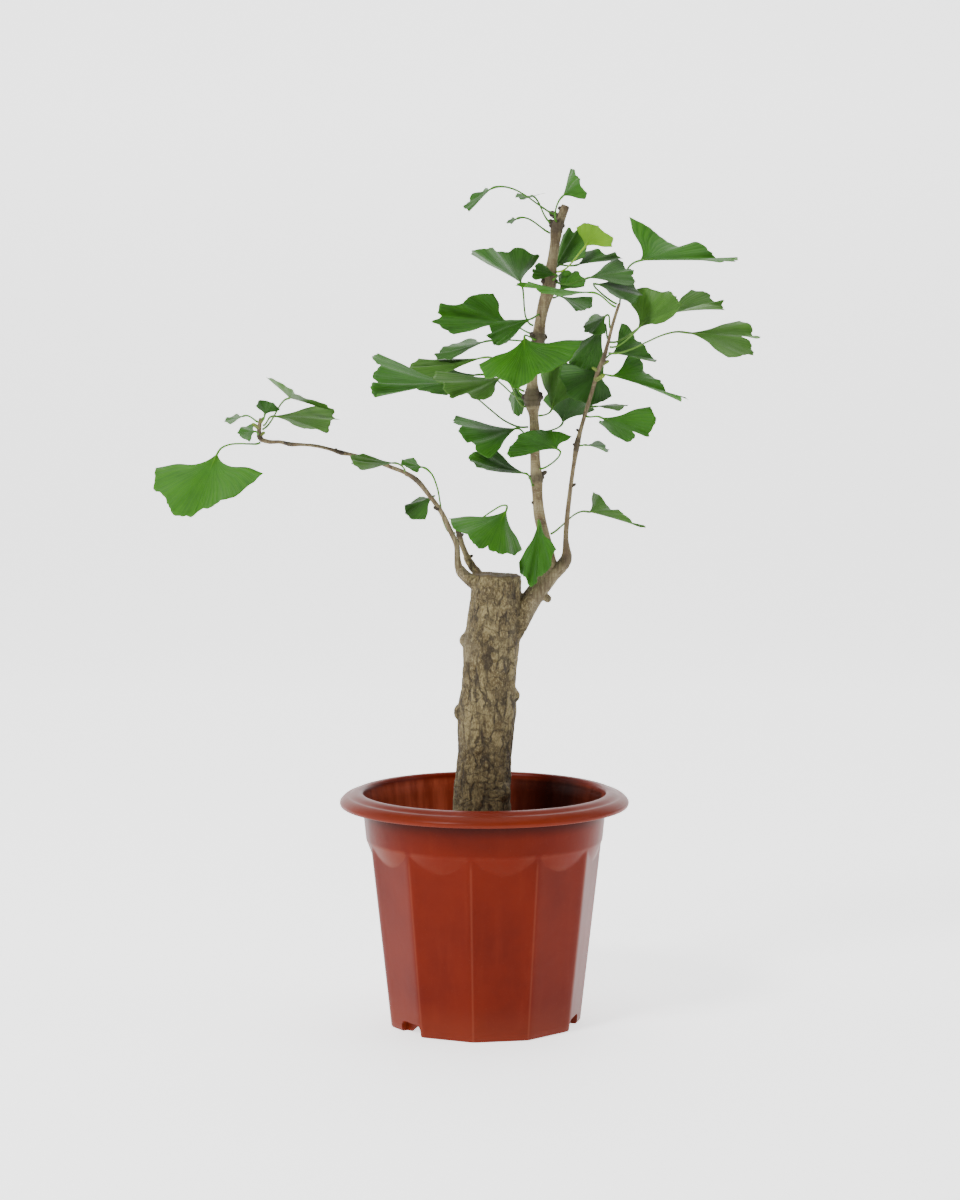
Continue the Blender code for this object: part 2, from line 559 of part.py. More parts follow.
def build_shoot_leaves():
    """Leaves of the side shoot, from its tip down."""
    shoot = SIDE_SHOOT
    leaf("leaf_shoot_01", shoot, (90, -22, 372), (74, -24, 382), (43, -13, 389), (23, -34, 391),
         (50, -52, 385), BRIGHT, 0.05)
    leaf("leaf_shoot_02", shoot, (90.8, -22, 374), (75, -20, 388), (93, -4, 390), (106, -27, 377),
         (87, -46, 374), DARK, 0.06, 0.08)
    leaf("leaf_shoot_03", shoot, (83, -19, 346), (104, -18, 358), (99, -5, 382), (131, -28, 381),
         (124, -36, 361), PALE, 0.1)
    leaf("leaf_shoot_04", shoot, (84, -19, 349), (121, -2, 367), (143, 16, 381), (165, 2, 373),
         (150, -16, 370), PALE, 0.06)
    leaf("leaf_shoot_05", shoot, (90.6, -22, 373), (106, 6, 404), (101, 26, 428), (156, 6, 406),
         (171, -32, 400), MID, 0.03, 0.05)
    leaf("leaf_shoot_06", shoot, (82, -18, 342), (138, -22, 355), (173, -6, 359), (185, -30, 346),
         (163, -50, 334), PALE, 0.3, lift=1)
    leaf("leaf_shoot_07", shoot, (81, -18, 338), (87, -10, 341), (94, 6, 360), (110, -3, 344),
         (117, -26, 332), DARK, 0.1)
    leaf("leaf_shoot_08", shoot, (77, -17, 328), (86, -14, 326), (101, 2, 339), (121, -10, 316),
         (138, -34, 305), MID, 0.05)
    leaf("leaf_shoot_09", shoot, (84, -19, 351), (81, -6, 360), (57, 12, 344), (61, 6, 327),
         (79, -4, 326), DARK, 0.05)
    leaf("leaf_shoot_10", shoot, (79, -17, 333), (80, -9, 330), (52, 4, 334), (60, -10, 309),
         (87, -5, 311), DARK, 0.06, 0.05)
    leaf("leaf_shoot_11", RIGHT_STEM, (34, 1, 298), (46, 8, 302), (39, 26, 325), (57, 18, 334),
         (74, 10, 316), PALE, 0.06)
    leaf("leaf_shoot_12", RIGHT_STEM, (34.6, 1, 287), (54, 14, 293), (40, 34, 307), (60, 36, 312),
         (78, 24, 299), MID, 0.06)
    leaf("leaf_shoot_13", shoot, (70, -14, 305), (75, -11, 305), (87, 7, 304), (98, -8, 304),
         (84, -20, 301), PALE, 0.05)
    leaf("leaf_shoot_14", shoot, (68, -14, 299), (79, -25, 298), (113, -22, 301), (106, -46, 280),
         (76, -44, 290), BRIGHT, 0.3, 0.1)
    leaf("leaf_shoot_15", shoot, (63, -11, 279), (69, -14, 279), (78, 3, 280), (85, -14, 274),
         (79, -32, 276), MID, 0.05)
    leaf("leaf_shoot_16", shoot, (86, -20, 358), (83, -11, 367), (74, 8, 369), (67, -2, 357),
         (80, -16, 355), DARK, 0.05)


build_pot()
room = build_wood()
build_soil(room)
build_left_leaves()
build_fork_leaves()
build_middle_leaves()
build_top_leaves()
build_shoot_leaves()
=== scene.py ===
"""Potted ginkgo: a cut-back ginkgo with young shoots in a plastic nursery pot."""
import math
import random

import bmesh
import bpy
import numpy as np
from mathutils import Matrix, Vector, noise


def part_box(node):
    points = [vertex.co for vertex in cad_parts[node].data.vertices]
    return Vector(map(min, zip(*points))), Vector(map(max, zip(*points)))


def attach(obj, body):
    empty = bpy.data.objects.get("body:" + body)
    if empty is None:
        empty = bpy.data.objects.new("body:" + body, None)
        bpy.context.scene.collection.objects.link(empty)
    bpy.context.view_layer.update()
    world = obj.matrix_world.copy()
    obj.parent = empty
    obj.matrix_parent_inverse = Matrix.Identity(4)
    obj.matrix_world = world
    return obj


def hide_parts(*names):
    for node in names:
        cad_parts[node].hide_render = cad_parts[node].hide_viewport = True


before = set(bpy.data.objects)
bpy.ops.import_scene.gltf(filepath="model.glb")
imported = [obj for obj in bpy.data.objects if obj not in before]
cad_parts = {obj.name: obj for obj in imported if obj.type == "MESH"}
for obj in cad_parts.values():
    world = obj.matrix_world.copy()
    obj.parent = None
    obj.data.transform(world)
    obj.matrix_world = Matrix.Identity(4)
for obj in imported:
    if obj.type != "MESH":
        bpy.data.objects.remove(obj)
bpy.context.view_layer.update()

MM = 0.001

# ---------------- camera
# The camera stands two metres in front of the pot, a little above the soil,
# and looks slightly down, so that the inside of the far rim just shows.
CAMERA_PLACE = (-0.003, -2.05, 0.492)
CAMERA_DOWN = math.radians(5.5)
FOCAL_LENGTH = 89.7


def new_object(name, data):
    made = bpy.data.objects.new(name, data)
    bpy.context.scene.collection.objects.link(made)
    return made


lens = bpy.data.cameras.new("camera")
lens.lens = FOCAL_LENGTH
camera = new_object("camera", lens)
camera.location = CAMERA_PLACE
camera.rotation_euler = (math.pi / 2 - CAMERA_DOWN, 0, 0)
bpy.context.scene.camera = camera

# ---------------- pot
# A thin-walled nursery pot, moulded in one piece from red-brown plastic: a round
# collar and rolled lip over a body of eleven flat panels, each starting in a
# half-moon ledge, with notches and drain holes at its foot.
POT_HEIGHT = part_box("pot")[1].z
LIP_RADIUS = max(math.hypot(v.co.x, v.co.y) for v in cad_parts["pot"].data.vertices)
LIP_DROP = 7.5 * MM
MOUTH_RADIUS = 86.5 * MM
COLLAR_RADIUS = 84 * MM
COLLAR_LINE = POT_HEIGHT - 33 * MM
FOOT_RADIUS = 67.5 * MM
WALL = 2 * MM
PANELS = 11
CREASE_ANGLE = math.radians(-6.5)
LEDGE_SLOPE = 0.27
FLOOR_RISE = 8.5 * MM
FLOOR_WALL = 2.4 * MM
PAD_RADIUS = 30 * MM
NOTCH_ANGLES = (-50, 70, 190)
NOTCH_SIZE = (23 * MM, 16 * MM, 12 * MM)
DRAIN_RADIUS = 4.5 * MM
DRAINS = 6
POT_COLUMNS = PANELS * 26
LEDGE_DROP = COLLAR_RADIUS * (1 - math.cos(math.pi / PANELS)) / LEDGE_SLOPE
BODY_SHARE = 0.88
COLLAR_HEIGHT = 20 * MM
SHARP_ANGLE = math.radians(33)
PLASTIC = (0.12, 0.0075, 0.0002)
PLASTIC_DARKER = (0.092, 0.0048, 0.0001)
PLASTIC_STREAK = (0.16, 0.016, 0.004)
PLASTIC_SHADED = (0.02, 0.001, 0.0002)
PLASTIC_DUST_AND_HIGHLIGHT = (0.3, 0.085, 0.045)
PLASTIC_INSIDE = (0.33, 0.062, 0.03)
PLASTIC_PAINTED_SHADOW = (0.018, 0.0015, 0.0004)


def spline(knots, values, at):
    """A smooth curve through the values at the knots, taken at other places."""
    knots, values, at = (np.asarray(a, dtype=float) for a in (knots, values, at))
    slopes = np.gradient(values, knots, axis=0)
    i = np.clip(np.searchsorted(knots, at, side="right") - 1, 0, len(knots) - 2)
    shape = (-1,) + (1,) * (values.ndim - 1)
    width = (knots[i + 1] - knots[i]).reshape(shape)
    t = ((at - knots[i]) / (knots[i + 1] - knots[i])).reshape(shape)
    return ((1 + 2 * t) * (1 - t) ** 2 * values[i] + t * (1 - t) ** 2 * width * slopes[i]
            + t * t * (3 - 2 * t) * values[i + 1] + t * t * (t - 1) * width * slopes[i + 1])


def turns_round(count):
    return np.linspace(0, 2 * math.pi, count, endpoint=False)


def clamp(value):
    return max(0.0, min(1.0, value))


def add_piece(name, points, faces, material):
    """A named object of points and faces, shaded smooth, with its normals outwards."""
    mesh = bpy.data.meshes.new(name)
    mesh.from_pydata([tuple(p) for p in points], [], faces)
    bm = bmesh.new()
    bm.from_mesh(mesh)
    bmesh.ops.recalc_face_normals(bm, faces=bm.faces)
    bm.to_mesh(mesh)
    bm.free()
    mesh.shade_smooth()
    if material:
        mesh.materials.append(material)
    return new_object(name, mesh)


def loft(rings, first=0):
    """Faces that join rings of equal length, numbered from first, with both ends closed."""
    count = len(rings[0])
    faces = []
    for row in range(len(rings) - 1):
        a = first + row * count
        b = a + count
        faces += [(a + i, a + (i + 1) % count, b + (i + 1) % count, b + i) for i in range(count)]
    faces.append(tuple(first + i for i in reversed(range(count))))
    faces.append(tuple(first + (len(rings) - 1) * count + i for i in range(count)))
    return faces


# the two colour inputs of a Mix node
COLOUR_SOCKETS = (6, 7)


class Shade:
    """A socket of a material. Arithmetic on it adds Math nodes, and node() adds any other node."""

    def __init__(self, tree, socket=None):
        self.tree = tree
        self.socket = socket

    def node(self, kind, settings=None, sockets=None, output=0):
        """A node with its settings, then its sockets' values or links; gives one output."""
        new = self.tree.nodes.new("ShaderNode" + kind)
        for name, value in (settings or {}).items():
            setattr(new, name, value)
        for name, value in (sockets or {}).items():
            if isinstance(value, Shade):
                self.tree.links.new(value.socket, new.inputs[name])
            else:
                new.inputs[name].default_value = (*value, 1) if name in COLOUR_SOCKETS else value
        return Shade(self.tree, new.outputs[output])

    def math(self, operation, *values):
        return self.node("Math", {"operation": operation}, dict(enumerate(values)))

    def __add__(self, other):
        return self.math("ADD", self, other)

    def __sub__(self, other):
        return self.math("SUBTRACT", self, other)

    def __rsub__(self, other):
        return self.math("SUBTRACT", other, self)

    def __mul__(self, other):
        return self.math("MULTIPLY", self, other)

    def __pow__(self, other):
        return self.math("POWER", self, other)

    def between(self, low, high):
        """0 at low and less, 1 at high and more, smooth in between."""
        return self.node("MapRange", {"interpolation_type": "SMOOTHSTEP"},
                         {"Value": self, "From Min": low, "From Max": high})

    def noise(self, place, scale, detail=3.0, roughness=0.55):
        return self.node("TexNoise", None, {"Vector": place, "Scale": scale, "Detail": detail,
                                            "Roughness": roughness})

    def stretched(self, place, scale):
        """The place, with each axis scaled by its own amount."""
        return self.node("Mapping", None, {"Vector": place, "Scale": scale})

    def place(self):
        """A place in the piece's own space."""
        return self.node("TexCoord", None, None, 3)

    def streaks(self, place, scale, detail, roughness=0.55):
        """Noise that is drawn out along the axes with the smaller scales."""
        return self.noise(self.stretched(place, scale), 1, detail, roughness)

    def attribute(self, name):
        """A number that the mesh keeps at each point."""
        return self.node("Attribute", {"attribute_name": name}, None, 2)

    def axes(self, place):
        """The three numbers of a place."""
        return [self.node("SeparateXYZ", None, {"Vector": place}, i) for i in range(3)]

    def mix(self, share, first, second):
        """The first colour where share is 0, and the second where it is 1."""
        return self.node("Mix", {"data_type": "RGBA"}, {0: share, 6: first, 7: second}, 2)


def finish(name, colour, roughness, bump=None, bump_depth=0.5, **fixed):
    """A Principled material; colour and roughness are functions of the tree's first Shade."""
    made = bpy.data.materials.new(name)
    made.use_nodes = True
    tree = made.node_tree
    shader = tree.nodes["Principled BSDF"]
    start = Shade(tree)
    tree.links.new(colour(start).socket, shader.inputs["Base Color"])
    tree.links.new(roughness(start).socket, shader.inputs["Roughness"])
    if bump:
        relief = start.node("Bump", None,
                            {"Height": bump(start), "Distance": bump_depth * MM, "Strength": 1.0})
        tree.links.new(relief.socket, shader.inputs["Normal"])
    for socket, value in fixed.items():
        shader.inputs[socket.replace("_", " ")].default_value = value
    return made


def body_radius(z):
    """Radius of the body's creases, and of the round collar over them."""
    widening = COLLAR_RADIUS - FOOT_RADIUS
    up_collar = clamp((z - COLLAR_LINE) / COLLAR_HEIGHT)
    return FOOT_RADIUS + widening * (BODY_SHARE * min(1, z / COLLAR_LINE) + (1 - BODY_SHARE) * up_collar)


def pot_colour(start):
    """Red-brown plastic with cloudy patches, dust near the foot, painted highlights along the ledges and
    along the creases, which are partly worn, a paler lip top, painted shade under the lip, and a painted
    shadow on the back right inside.
    """
    place = start.place()
    x, y, height = start.axes(place)
    cloudy = start.noise(place, 22, 4)
    streaks = start.streaks(place, (95, 95, 9), 4, 0.65)
    specks = start.noise(place, 900, 2, 0.7)
    turn = x.math("ARCTAN2", x, y * -1.0)
    panel = (turn - CREASE_ANGLE) * (PANELS / (2 * math.pi))
    from_crease = panel.math("PINGPONG", panel, 0.5)
    # painted highlight along the creases, with some wear
    crease = from_crease.between(0.03, 0.0) * height.between(COLLAR_LINE, COLLAR_LINE - 12 * MM)
    drop = from_crease * (1 - from_crease) * (4 * LEDGE_DROP)
    ledge_foot = COLLAR_LINE - drop
    # painted highlight along the arc of each ledge
    ledge = height.between(ledge_foot - 1 * MM, ledge_foot + 0.5 * MM) * drop.between(1 * MM, 4 * MM)
    ledge = ledge * height.between(COLLAR_LINE + 2 * MM, COLLAR_LINE)
    from_axis = (x * x + y * y) ** 0.5
    collar_widening = body_radius(POT_HEIGHT) - body_radius(COLLAR_LINE)
    mid_wall = height.between(COLLAR_LINE, COLLAR_LINE + COLLAR_HEIGHT) * collar_widening
    mid_wall = mid_wall + (body_radius(COLLAR_LINE) - WALL / 2)
    outer = (from_axis - mid_wall).between(0.2 * MM, 0.8 * MM)
    # painted shade in a thin band under the lip
    under_lip = outer * (1 - from_axis.between(COLLAR_RADIUS + 5 * MM, COLLAR_RADIUS + 8 * MM))
    under_lip = under_lip * height.between(POT_HEIGHT - 22 * MM, POT_HEIGHT - 11 * MM)
    under_lip = under_lip * height.between(POT_HEIGHT - 6.5 * MM, POT_HEIGHT - 8.5 * MM)
    lip = from_axis.between(MOUTH_RADIUS - 0.5 * MM, LIP_RADIUS - 2 * MM)
    lip = lip * height.between(140 * MM, 150 * MM)
    base = start.mix(cloudy.between(0.3, 0.75), PLASTIC, PLASTIC_DARKER)
    base = start.mix(streaks.between(0.5, 0.8) * 0.3, base, PLASTIC_STREAK)
    base = start.mix(under_lip * 0.85, base, PLASTIC_SHADED)
    # dust near the foot and in specks, painted highlight and wear on the creases, painted highlight on the
    # ledges, and paler on the lip's top
    dust_and_highlights = height.between(30 * MM, 0.0) * 0.12 + specks.between(0.6, 0.8) * 0.1 + crease * 0.16
    dust_and_highlights = dust_and_highlights + ledge * cloudy.between(0.35, 0.7) * 0.22 + lip * 0.12
    base = start.mix(dust_and_highlights, base, PLASTIC_DUST_AND_HIGHLIGHT)
    inside = height.between(COLLAR_LINE - 2 * MM, COLLAR_LINE + 2 * MM) * (1 - outer)
    base = start.mix(inside * (streaks.between(0.35, 0.65) * 0.6 + 0.35), base, PLASTIC_INSIDE)
    # painted shadow on the back right of the inside wall
    painted_shadow = inside * (x - y * 0.1).between(-10 * MM, 20 * MM) * y.between(0.0, 20 * MM)
    return start.mix(painted_shadow * 0.85, base, PLASTIC_PAINTED_SHADOW)


def pot_roughness(start):
    place = start.place()
    return start.streaks(place, (60, 60, 14), 4) * 0.16 + 0.27


def pot_relief(start):
    place = start.place()
    return start.noise(place, 45, 3) * 0.9 + start.noise(place, 700, 2) * 0.06


pot_plastic = finish("red_brown_plastic", pot_colour, pot_roughness, pot_relief, 0.22,
                     IOR=1.16, Specular_IOR_Level=0.6)


def soft_min(a, b, width):
    """The smaller of two numbers, rounded where they meet."""
    share = np.clip(0.5 + 0.5 * (b - a) / width, 0, 1)
    return b * (1 - share) + a * share - width * share * (1 - share)


def panel_recess(turns, z):
    """How far the flat panels lie inside the round body, with rounded creases and ledges."""
    half = math.pi / PANELS
    local = (turns - CREASE_ANGLE) / (2 * half)
    local = (local - np.floor(local) - 0.5) * 2 * half
    radius = body_radius(z)
    flat = radius * math.cos(half) / np.cos(local)
    flat = soft_min(flat, radius - 0.25 * MM, 0.9 * MM)
    ledge = LEDGE_SLOPE * max(0.0, COLLAR_LINE - z)
    return np.maximum(0, soft_min(radius - flat, ledge, 0.35 * MM))


pot_turns = turns_round(POT_COLUMNS)
pot_rings = []


def pot_ring(radius, z, panelled=1.0, panel_z=None):
    """One ring of the pot; panelled is 1 where it follows the flat panels."""
    r = radius - panelled * panel_recess(pot_turns, z if panel_z is None else panel_z)
    angle = pot_turns - math.pi / 2
    pot_rings.append(np.stack([r * np.cos(angle), r * np.sin(angle), np.full(POT_COLUMNS, z)], axis=1))


# under the pot, from the round pad outwards to the foot, which follows the flat panels
for radius, z in ((1 * MM, 0), (PAD_RADIUS - 0.8 * MM, 0), (PAD_RADIUS + 0.2 * MM, 0.5 * MM),
                  (PAD_RADIUS + FLOOR_RISE * 0.76, FLOOR_RISE * 0.96),
                  (PAD_RADIUS + FLOOR_RISE * 0.9, FLOOR_RISE)):
    pot_ring(radius, z, 0)
for inwards, z in ((6.4 * MM, FLOOR_RISE), (6 * MM, FLOOR_RISE * 0.9), (5 * MM, 0.4 * MM),
                   (4.5 * MM, 0), (1.3 * MM, 0)):
    pot_ring(FOOT_RADIUS - inwards, z, 1, 0)
pot_ring(body_radius(0.4 * MM) - 0.4 * MM, 0.35 * MM)
# outside of the wall, upwards, closer together at the ledges
wall_heights = [1.2 * MM] + list(np.arange(6, 110, 8) * MM)
wall_heights += list(np.linspace(111 * MM, COLLAR_LINE + 1.5 * MM, 24))
wall_heights += [COLLAR_LINE + rise * MM for rise in (5, 12, 19, 22)]
for z in wall_heights:
    pot_ring(body_radius(z), z)
# rolled lip, out along its underside, round its edge, over the top and into the mouth:
# how far out, as a share of the lip's width, and how far down, as a share of its drop
LIP_PROFILE = (
    (-0.1, 0.6), (0.22, 0.5), (0.55, 0.62), (0.82, 1.05), (0.9, 1.24), (0.955, 1.27),
    (1.0, 1.12), (1.0, 0.92), (0.93, 0.72), (0.8, 0.5), (0.66, 0.36), (0.57, 0.33),
    (0.48, 0.28), (0.3, 0.1), (0.15, 0.02), (0.0, 0.0), (-0.1, 0.05), (-0.165, 0.16),
    (-0.21, 0.4), (-0.26, 0.95))
knots = np.arange(len(LIP_PROFILE))
for out, drop in spline(knots, LIP_PROFILE, np.linspace(0, knots[-1], knots[-1] * 3 + 1)):
    pot_ring(MOUTH_RADIUS + (LIP_RADIUS - MOUTH_RADIUS) * out, POT_HEIGHT - LIP_DROP * drop, 0)
# inside of the wall, downwards, and the floor
for z in reversed([z for z in wall_heights if z > FLOOR_RISE + FLOOR_WALL + 1 * MM]):
    pot_ring(body_radius(z) - WALL, z)
pot_ring(body_radius(FLOOR_RISE) - WALL - 1.5 * MM, FLOOR_RISE + FLOOR_WALL, 1)
pot_ring(PAD_RADIUS + FLOOR_RISE * 0.8, FLOOR_RISE + FLOOR_WALL, 0)
pot_ring(PAD_RADIUS, FLOOR_WALL, 0)
pot_ring(1 * MM, FLOOR_WALL, 0)
pot = add_piece("nursery_pot", np.concatenate(pot_rings), loft(pot_rings), pot_plastic)


def cutter(name, shape, place, turn):
    """A hidden solid that is cut out of the pot."""
    bm = bmesh.new()
    shape(bm)
    mesh = bpy.data.meshes.new(name)
    bm.to_mesh(mesh)
    bm.free()
    tool = new_object(name, mesh)
    tool.location = place
    tool.rotation_euler = (0, 0, turn)
    mod = pot.modifiers.new(name, "BOOLEAN")
    mod.solver = "EXACT"
    mod.object = tool
    return tool


def notch_shape(bm):
    bmesh.ops.create_cube(bm, size=1)
    bmesh.ops.scale(bm, vec=NOTCH_SIZE, verts=bm.verts)
    upper = [e for e in bm.edges if min(v.co.z for v in e.verts) > 0]
    edges = [e for e in upper if abs(e.verts[0].co.x - e.verts[1].co.x) < 0.001 * MM]
    bmesh.ops.bevel(bm, geom=edges, offset=4 * MM, segments=6, affect="EDGES", profile=0.5)


def drain_shape(bm):
    bmesh.ops.create_cone(bm, cap_ends=True, segments=32, depth=20 * MM,
                          radius1=DRAIN_RADIUS, radius2=DRAIN_RADIUS)


tools = []
for number, degrees in enumerate(NOTCH_ANGLES):
    angle = math.radians(degrees - 90)
    place = (FOOT_RADIUS * math.cos(angle), FOOT_RADIUS * math.sin(angle), 2 * MM)
    tools.append(cutter(f"notch_{number}", notch_shape, place, math.radians(degrees)))
drain_circle = (PAD_RADIUS + FLOOR_RISE * 0.8 + FOOT_RADIUS - 5 * MM) / 2
for number in range(DRAINS):
    angle = math.radians(NOTCH_ANGLES[0] - 90 + 360 * number / DRAINS)
    place = (drain_circle * math.cos(angle), drain_circle * math.sin(angle), FLOOR_RISE)
    tools.append(cutter(f"drain_{number}", drain_shape, place, 0))


def keep_result(piece):
    """Apply a piece's modifiers by taking its evaluated mesh."""
    bpy.context.view_layer.update()
    solved = bpy.data.meshes.new_from_object(piece.evaluated_get(bpy.context.evaluated_depsgraph_get()))
    piece.modifiers.clear()
    piece.data = solved


keep_result(pot)
for tool in tools:
    bpy.data.objects.remove(tool)
pot.data.shade_smooth()
pot.data.set_sharp_from_angle(angle=SHARP_ANGLE)
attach(pot, "root")
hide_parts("pot")

# ---------------- soil
# Dark potting soil that fills the pot to just under the collar, a little higher
# round the trunk, with crumbs, bits of bark and grains of white perlite lying on it.
SOIL_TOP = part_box("soil")[1].z
SOIL_MOUND = 3 * MM
SOIL_COLUMNS = 120
SOIL_DEPTH = 14 * MM
SOIL_LOWER = 1.2 * MM


def even_roughness(scale, swing, least):
    """Roughness that varies a little over a surface."""
    return lambda start: start.noise(start.place(), scale, 2) * swing + least


def soil_colour(start):
    place = start.place()
    coarse = start.noise(place, 160, 5, 0.7)
    fine = start.noise(place, 900, 3, 0.7)
    base = start.mix(coarse.between(0.35, 0.65), (0.018, 0.011, 0.007), (0.07, 0.042, 0.024))
    return start.mix(fine.between(0.6, 0.75) * 0.5, base, (0.15, 0.10, 0.06))


def soil_relief(start):
    return start.noise(start.place(), 330, 5, 0.7)


soil_roughness = even_roughness(200, 0.1, 0.86)
potting_soil = finish("potting_soil", soil_colour, soil_roughness, soil_relief, 2.0)
soil_turns = turns_round(SOIL_COLUMNS)
soil_rings = []
soil_edge = min(body_radius(SOIL_TOP) - WALL - panel_recess(soil_turns, SOIL_TOP - SOIL_MOUND))
under_soil = [(0.01, SOIL_DEPTH), (0.5, SOIL_DEPTH), (0.97, SOIL_DEPTH), (0.99, SOIL_DEPTH / 2)]
over_soil = [(share, 0) for share in (
    1.0, 0.985, 0.96, 0.92, 0.87, 0.81, 0.74, 0.67, 0.6, 0.53, 0.46, 0.39, 0.32, 0.24, 0.16, 0.08, 0.02)]
for share, drop in under_soil + over_soil:
    ring = []
    low = SOIL_TOP - drop
    edges = body_radius(low) - WALL - 0.5 * MM - panel_recess(soil_turns + math.pi / 2, low)
    for angle, edge in zip(soil_turns, edges):
        x, y = edge * share * math.cos(angle), edge * share * math.sin(angle)
        if drop:
            z = SOIL_TOP - SOIL_MOUND - drop
        else:
            rough = noise.fractal(Vector((x, y, 0)) * 70, 0.6, 2.0, 4) * 1.1 * MM
            z = SOIL_TOP - SOIL_MOUND * share ** 2 - SOIL_LOWER + rough
        ring.append((x, y, z))
    soil_rings.append(ring)
soil = add_piece("potting_mix", np.concatenate(soil_rings), loft(soil_rings), potting_soil)
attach(soil, "root")
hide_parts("soil")


def scatter(name, surface, material, density, longest, flat, seed):
    """A piece of small uneven lumps on a surface's upper side, clear of the pot's wall."""
    tree = bpy.data.node_groups.new(name, "GeometryNodeTree")
    sizes = {"Density": density, "Longest": longest, "Flatness": flat, "Reach": soil_edge - longest * 0.6}
    kinds = {"Geometry": "Geometry", **dict.fromkeys(sizes, "Float"), "Material": "Material"}
    tree.interface.new_socket("Geometry", in_out="OUTPUT", socket_type="NodeSocketGeometry")
    for label, kind in kinds.items():
        tree.interface.new_socket(label, in_out="INPUT", socket_type="NodeSocket" + kind)

    def node(kind, settings=None, sockets=None):
        new = tree.nodes.new(kind)
        for label, value in (settings or {}).items():
            setattr(new, label, value)
        for label, value in (sockets or {}).items():
            if isinstance(value, bpy.types.NodeSocket):
                tree.links.new(value, new.inputs[label])
            else:
                new.inputs[label].default_value = value
        return new

    given = node("NodeGroupInput")
    normal = node("GeometryNodeInputNormal")
    up = node("ShaderNodeSeparateXYZ", None, {0: normal.outputs[0]})
    upward = node("FunctionNodeCompare", {"data_type": "FLOAT", "operation": "GREATER_THAN"},
                  {0: up.outputs[2], 1: 0.5})
    where = node("GeometryNodeInputPosition")
    level = node("ShaderNodeVectorMath", {"operation": "MULTIPLY"},
                 {0: where.outputs[0], 1: (1.0, 1.0, 0.0)})
    away = node("ShaderNodeVectorMath", {"operation": "LENGTH"}, {0: level.outputs[0]})
    clear = node("FunctionNodeCompare", {"data_type": "FLOAT", "operation": "LESS_THAN"},
                 {0: away.outputs["Value"], 1: given.outputs["Reach"]})
    chosen = node("FunctionNodeBooleanMath", {"operation": "AND"},
                  {0: upward.outputs[0], 1: clear.outputs[0]})
    points = node("GeometryNodeDistributePointsOnFaces", {"distribute_method": "RANDOM"},
                  {"Mesh": given.outputs["Geometry"], "Selection": chosen.outputs[0],
                   "Density": given.outputs["Density"], "Seed": seed})
    lump = node("GeometryNodeMeshIcoSphere", None, {"Radius": 0.5, "Subdivisions": 2})
    bumps = node("ShaderNodeTexNoise", None, {"Scale": 1.7, "Detail": 2.0})
    centred = node("ShaderNodeVectorMath", {"operation": "SUBTRACT"},
                   {0: bumps.outputs["Color"], 1: (0.5, 0.5, 0.5)})
    shifted = node("ShaderNodeVectorMath", {"operation": "SCALE"}, {0: centred.outputs[0], "Scale": 0.9})
    uneven = node("GeometryNodeSetPosition", None,
                  {"Geometry": lump.outputs["Mesh"], "Offset": shifted.outputs[0]})
    chance = "FunctionNodeRandomValue"
    size = node(chance, {"data_type": "FLOAT"}, {2: 0.35, 3: 1.0, "Seed": seed + 1})
    wide = node(chance, {"data_type": "FLOAT"}, {2: 0.45, 3: 0.9, "Seed": seed + 2})
    proportions = node("ShaderNodeCombineXYZ", None,
                       {0: 1.0, 1: wide.outputs[1], 2: given.outputs["Flatness"]})
    length = node("ShaderNodeMath", {"operation": "MULTIPLY"},
                  {0: size.outputs[1], 1: given.outputs["Longest"]})
    scaled = node("ShaderNodeVectorMath", {"operation": "SCALE"},
                  {0: proportions.outputs[0], "Scale": length.outputs[0]})
    turn = node(chance, {"data_type": "FLOAT_VECTOR"},
                {0: (-0.5, -0.5, 0.0), 1: (0.5, 0.5, 6.28), "Seed": seed + 3})
    copies = node("GeometryNodeInstanceOnPoints", None,
                  {"Points": points.outputs["Points"], "Instance": uneven.outputs[0],
                   "Rotation": turn.outputs[0], "Scale": scaled.outputs[0]})
    real = node("GeometryNodeRealizeInstances", None, {0: copies.outputs[0]})
    painted = node("GeometryNodeSetMaterial", None,
                   {0: real.outputs[0], "Material": given.outputs["Material"]})
    node("NodeGroupOutput", None, {0: painted.outputs[0]})
    piece = new_object(name, surface.data.copy())
    made = piece.modifiers.new(name, "NODES")
    made.node_group = tree
    for item in tree.interface.items_tree:
        if item.in_out == "INPUT" and item.name in sizes:
            made[item.identifier] = float(sizes[item.name])
        elif item.in_out == "INPUT" and item.name == "Material":
            made[item.identifier] = material
    keep_result(piece)
    piece.data.shade_smooth()
    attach(piece, "root")


def chip_colour(start):
    place = start.place()
    own = start.noise(place, 260, 1)
    grain = start.noise(start.stretched(place, (1, 1, 3)), 1500, 3)
    base = start.mix(own.between(0.35, 0.65), (0.03, 0.017, 0.01), (0.14, 0.075, 0.04))
    return start.mix(grain.between(0.55, 0.8) * 0.4, base, (0.24, 0.16, 0.1))


def grain_colour(start):
    stains = start.noise(start.place(), 500, 2).between(0.4, 0.7)
    return start.mix(stains, (0.72, 0.69, 0.63), (0.45, 0.40, 0.33))


bark_chips = finish("bark_chips", chip_colour, soil_roughness, soil_relief, 0.4)
perlite = finish("perlite", grain_colour, soil_roughness, soil_relief, 0.3)
scatter("soil_crumbs", soil, potting_soil, 55000, 3.4 * MM, 0.7, 3)
scatter("soil_bark_chips", soil, bark_chips, 17000, 8.5 * MM, 0.3, 11)
scatter("soil_perlite", soil, perlite, 3600, 2.8 * MM, 0.8, 27)

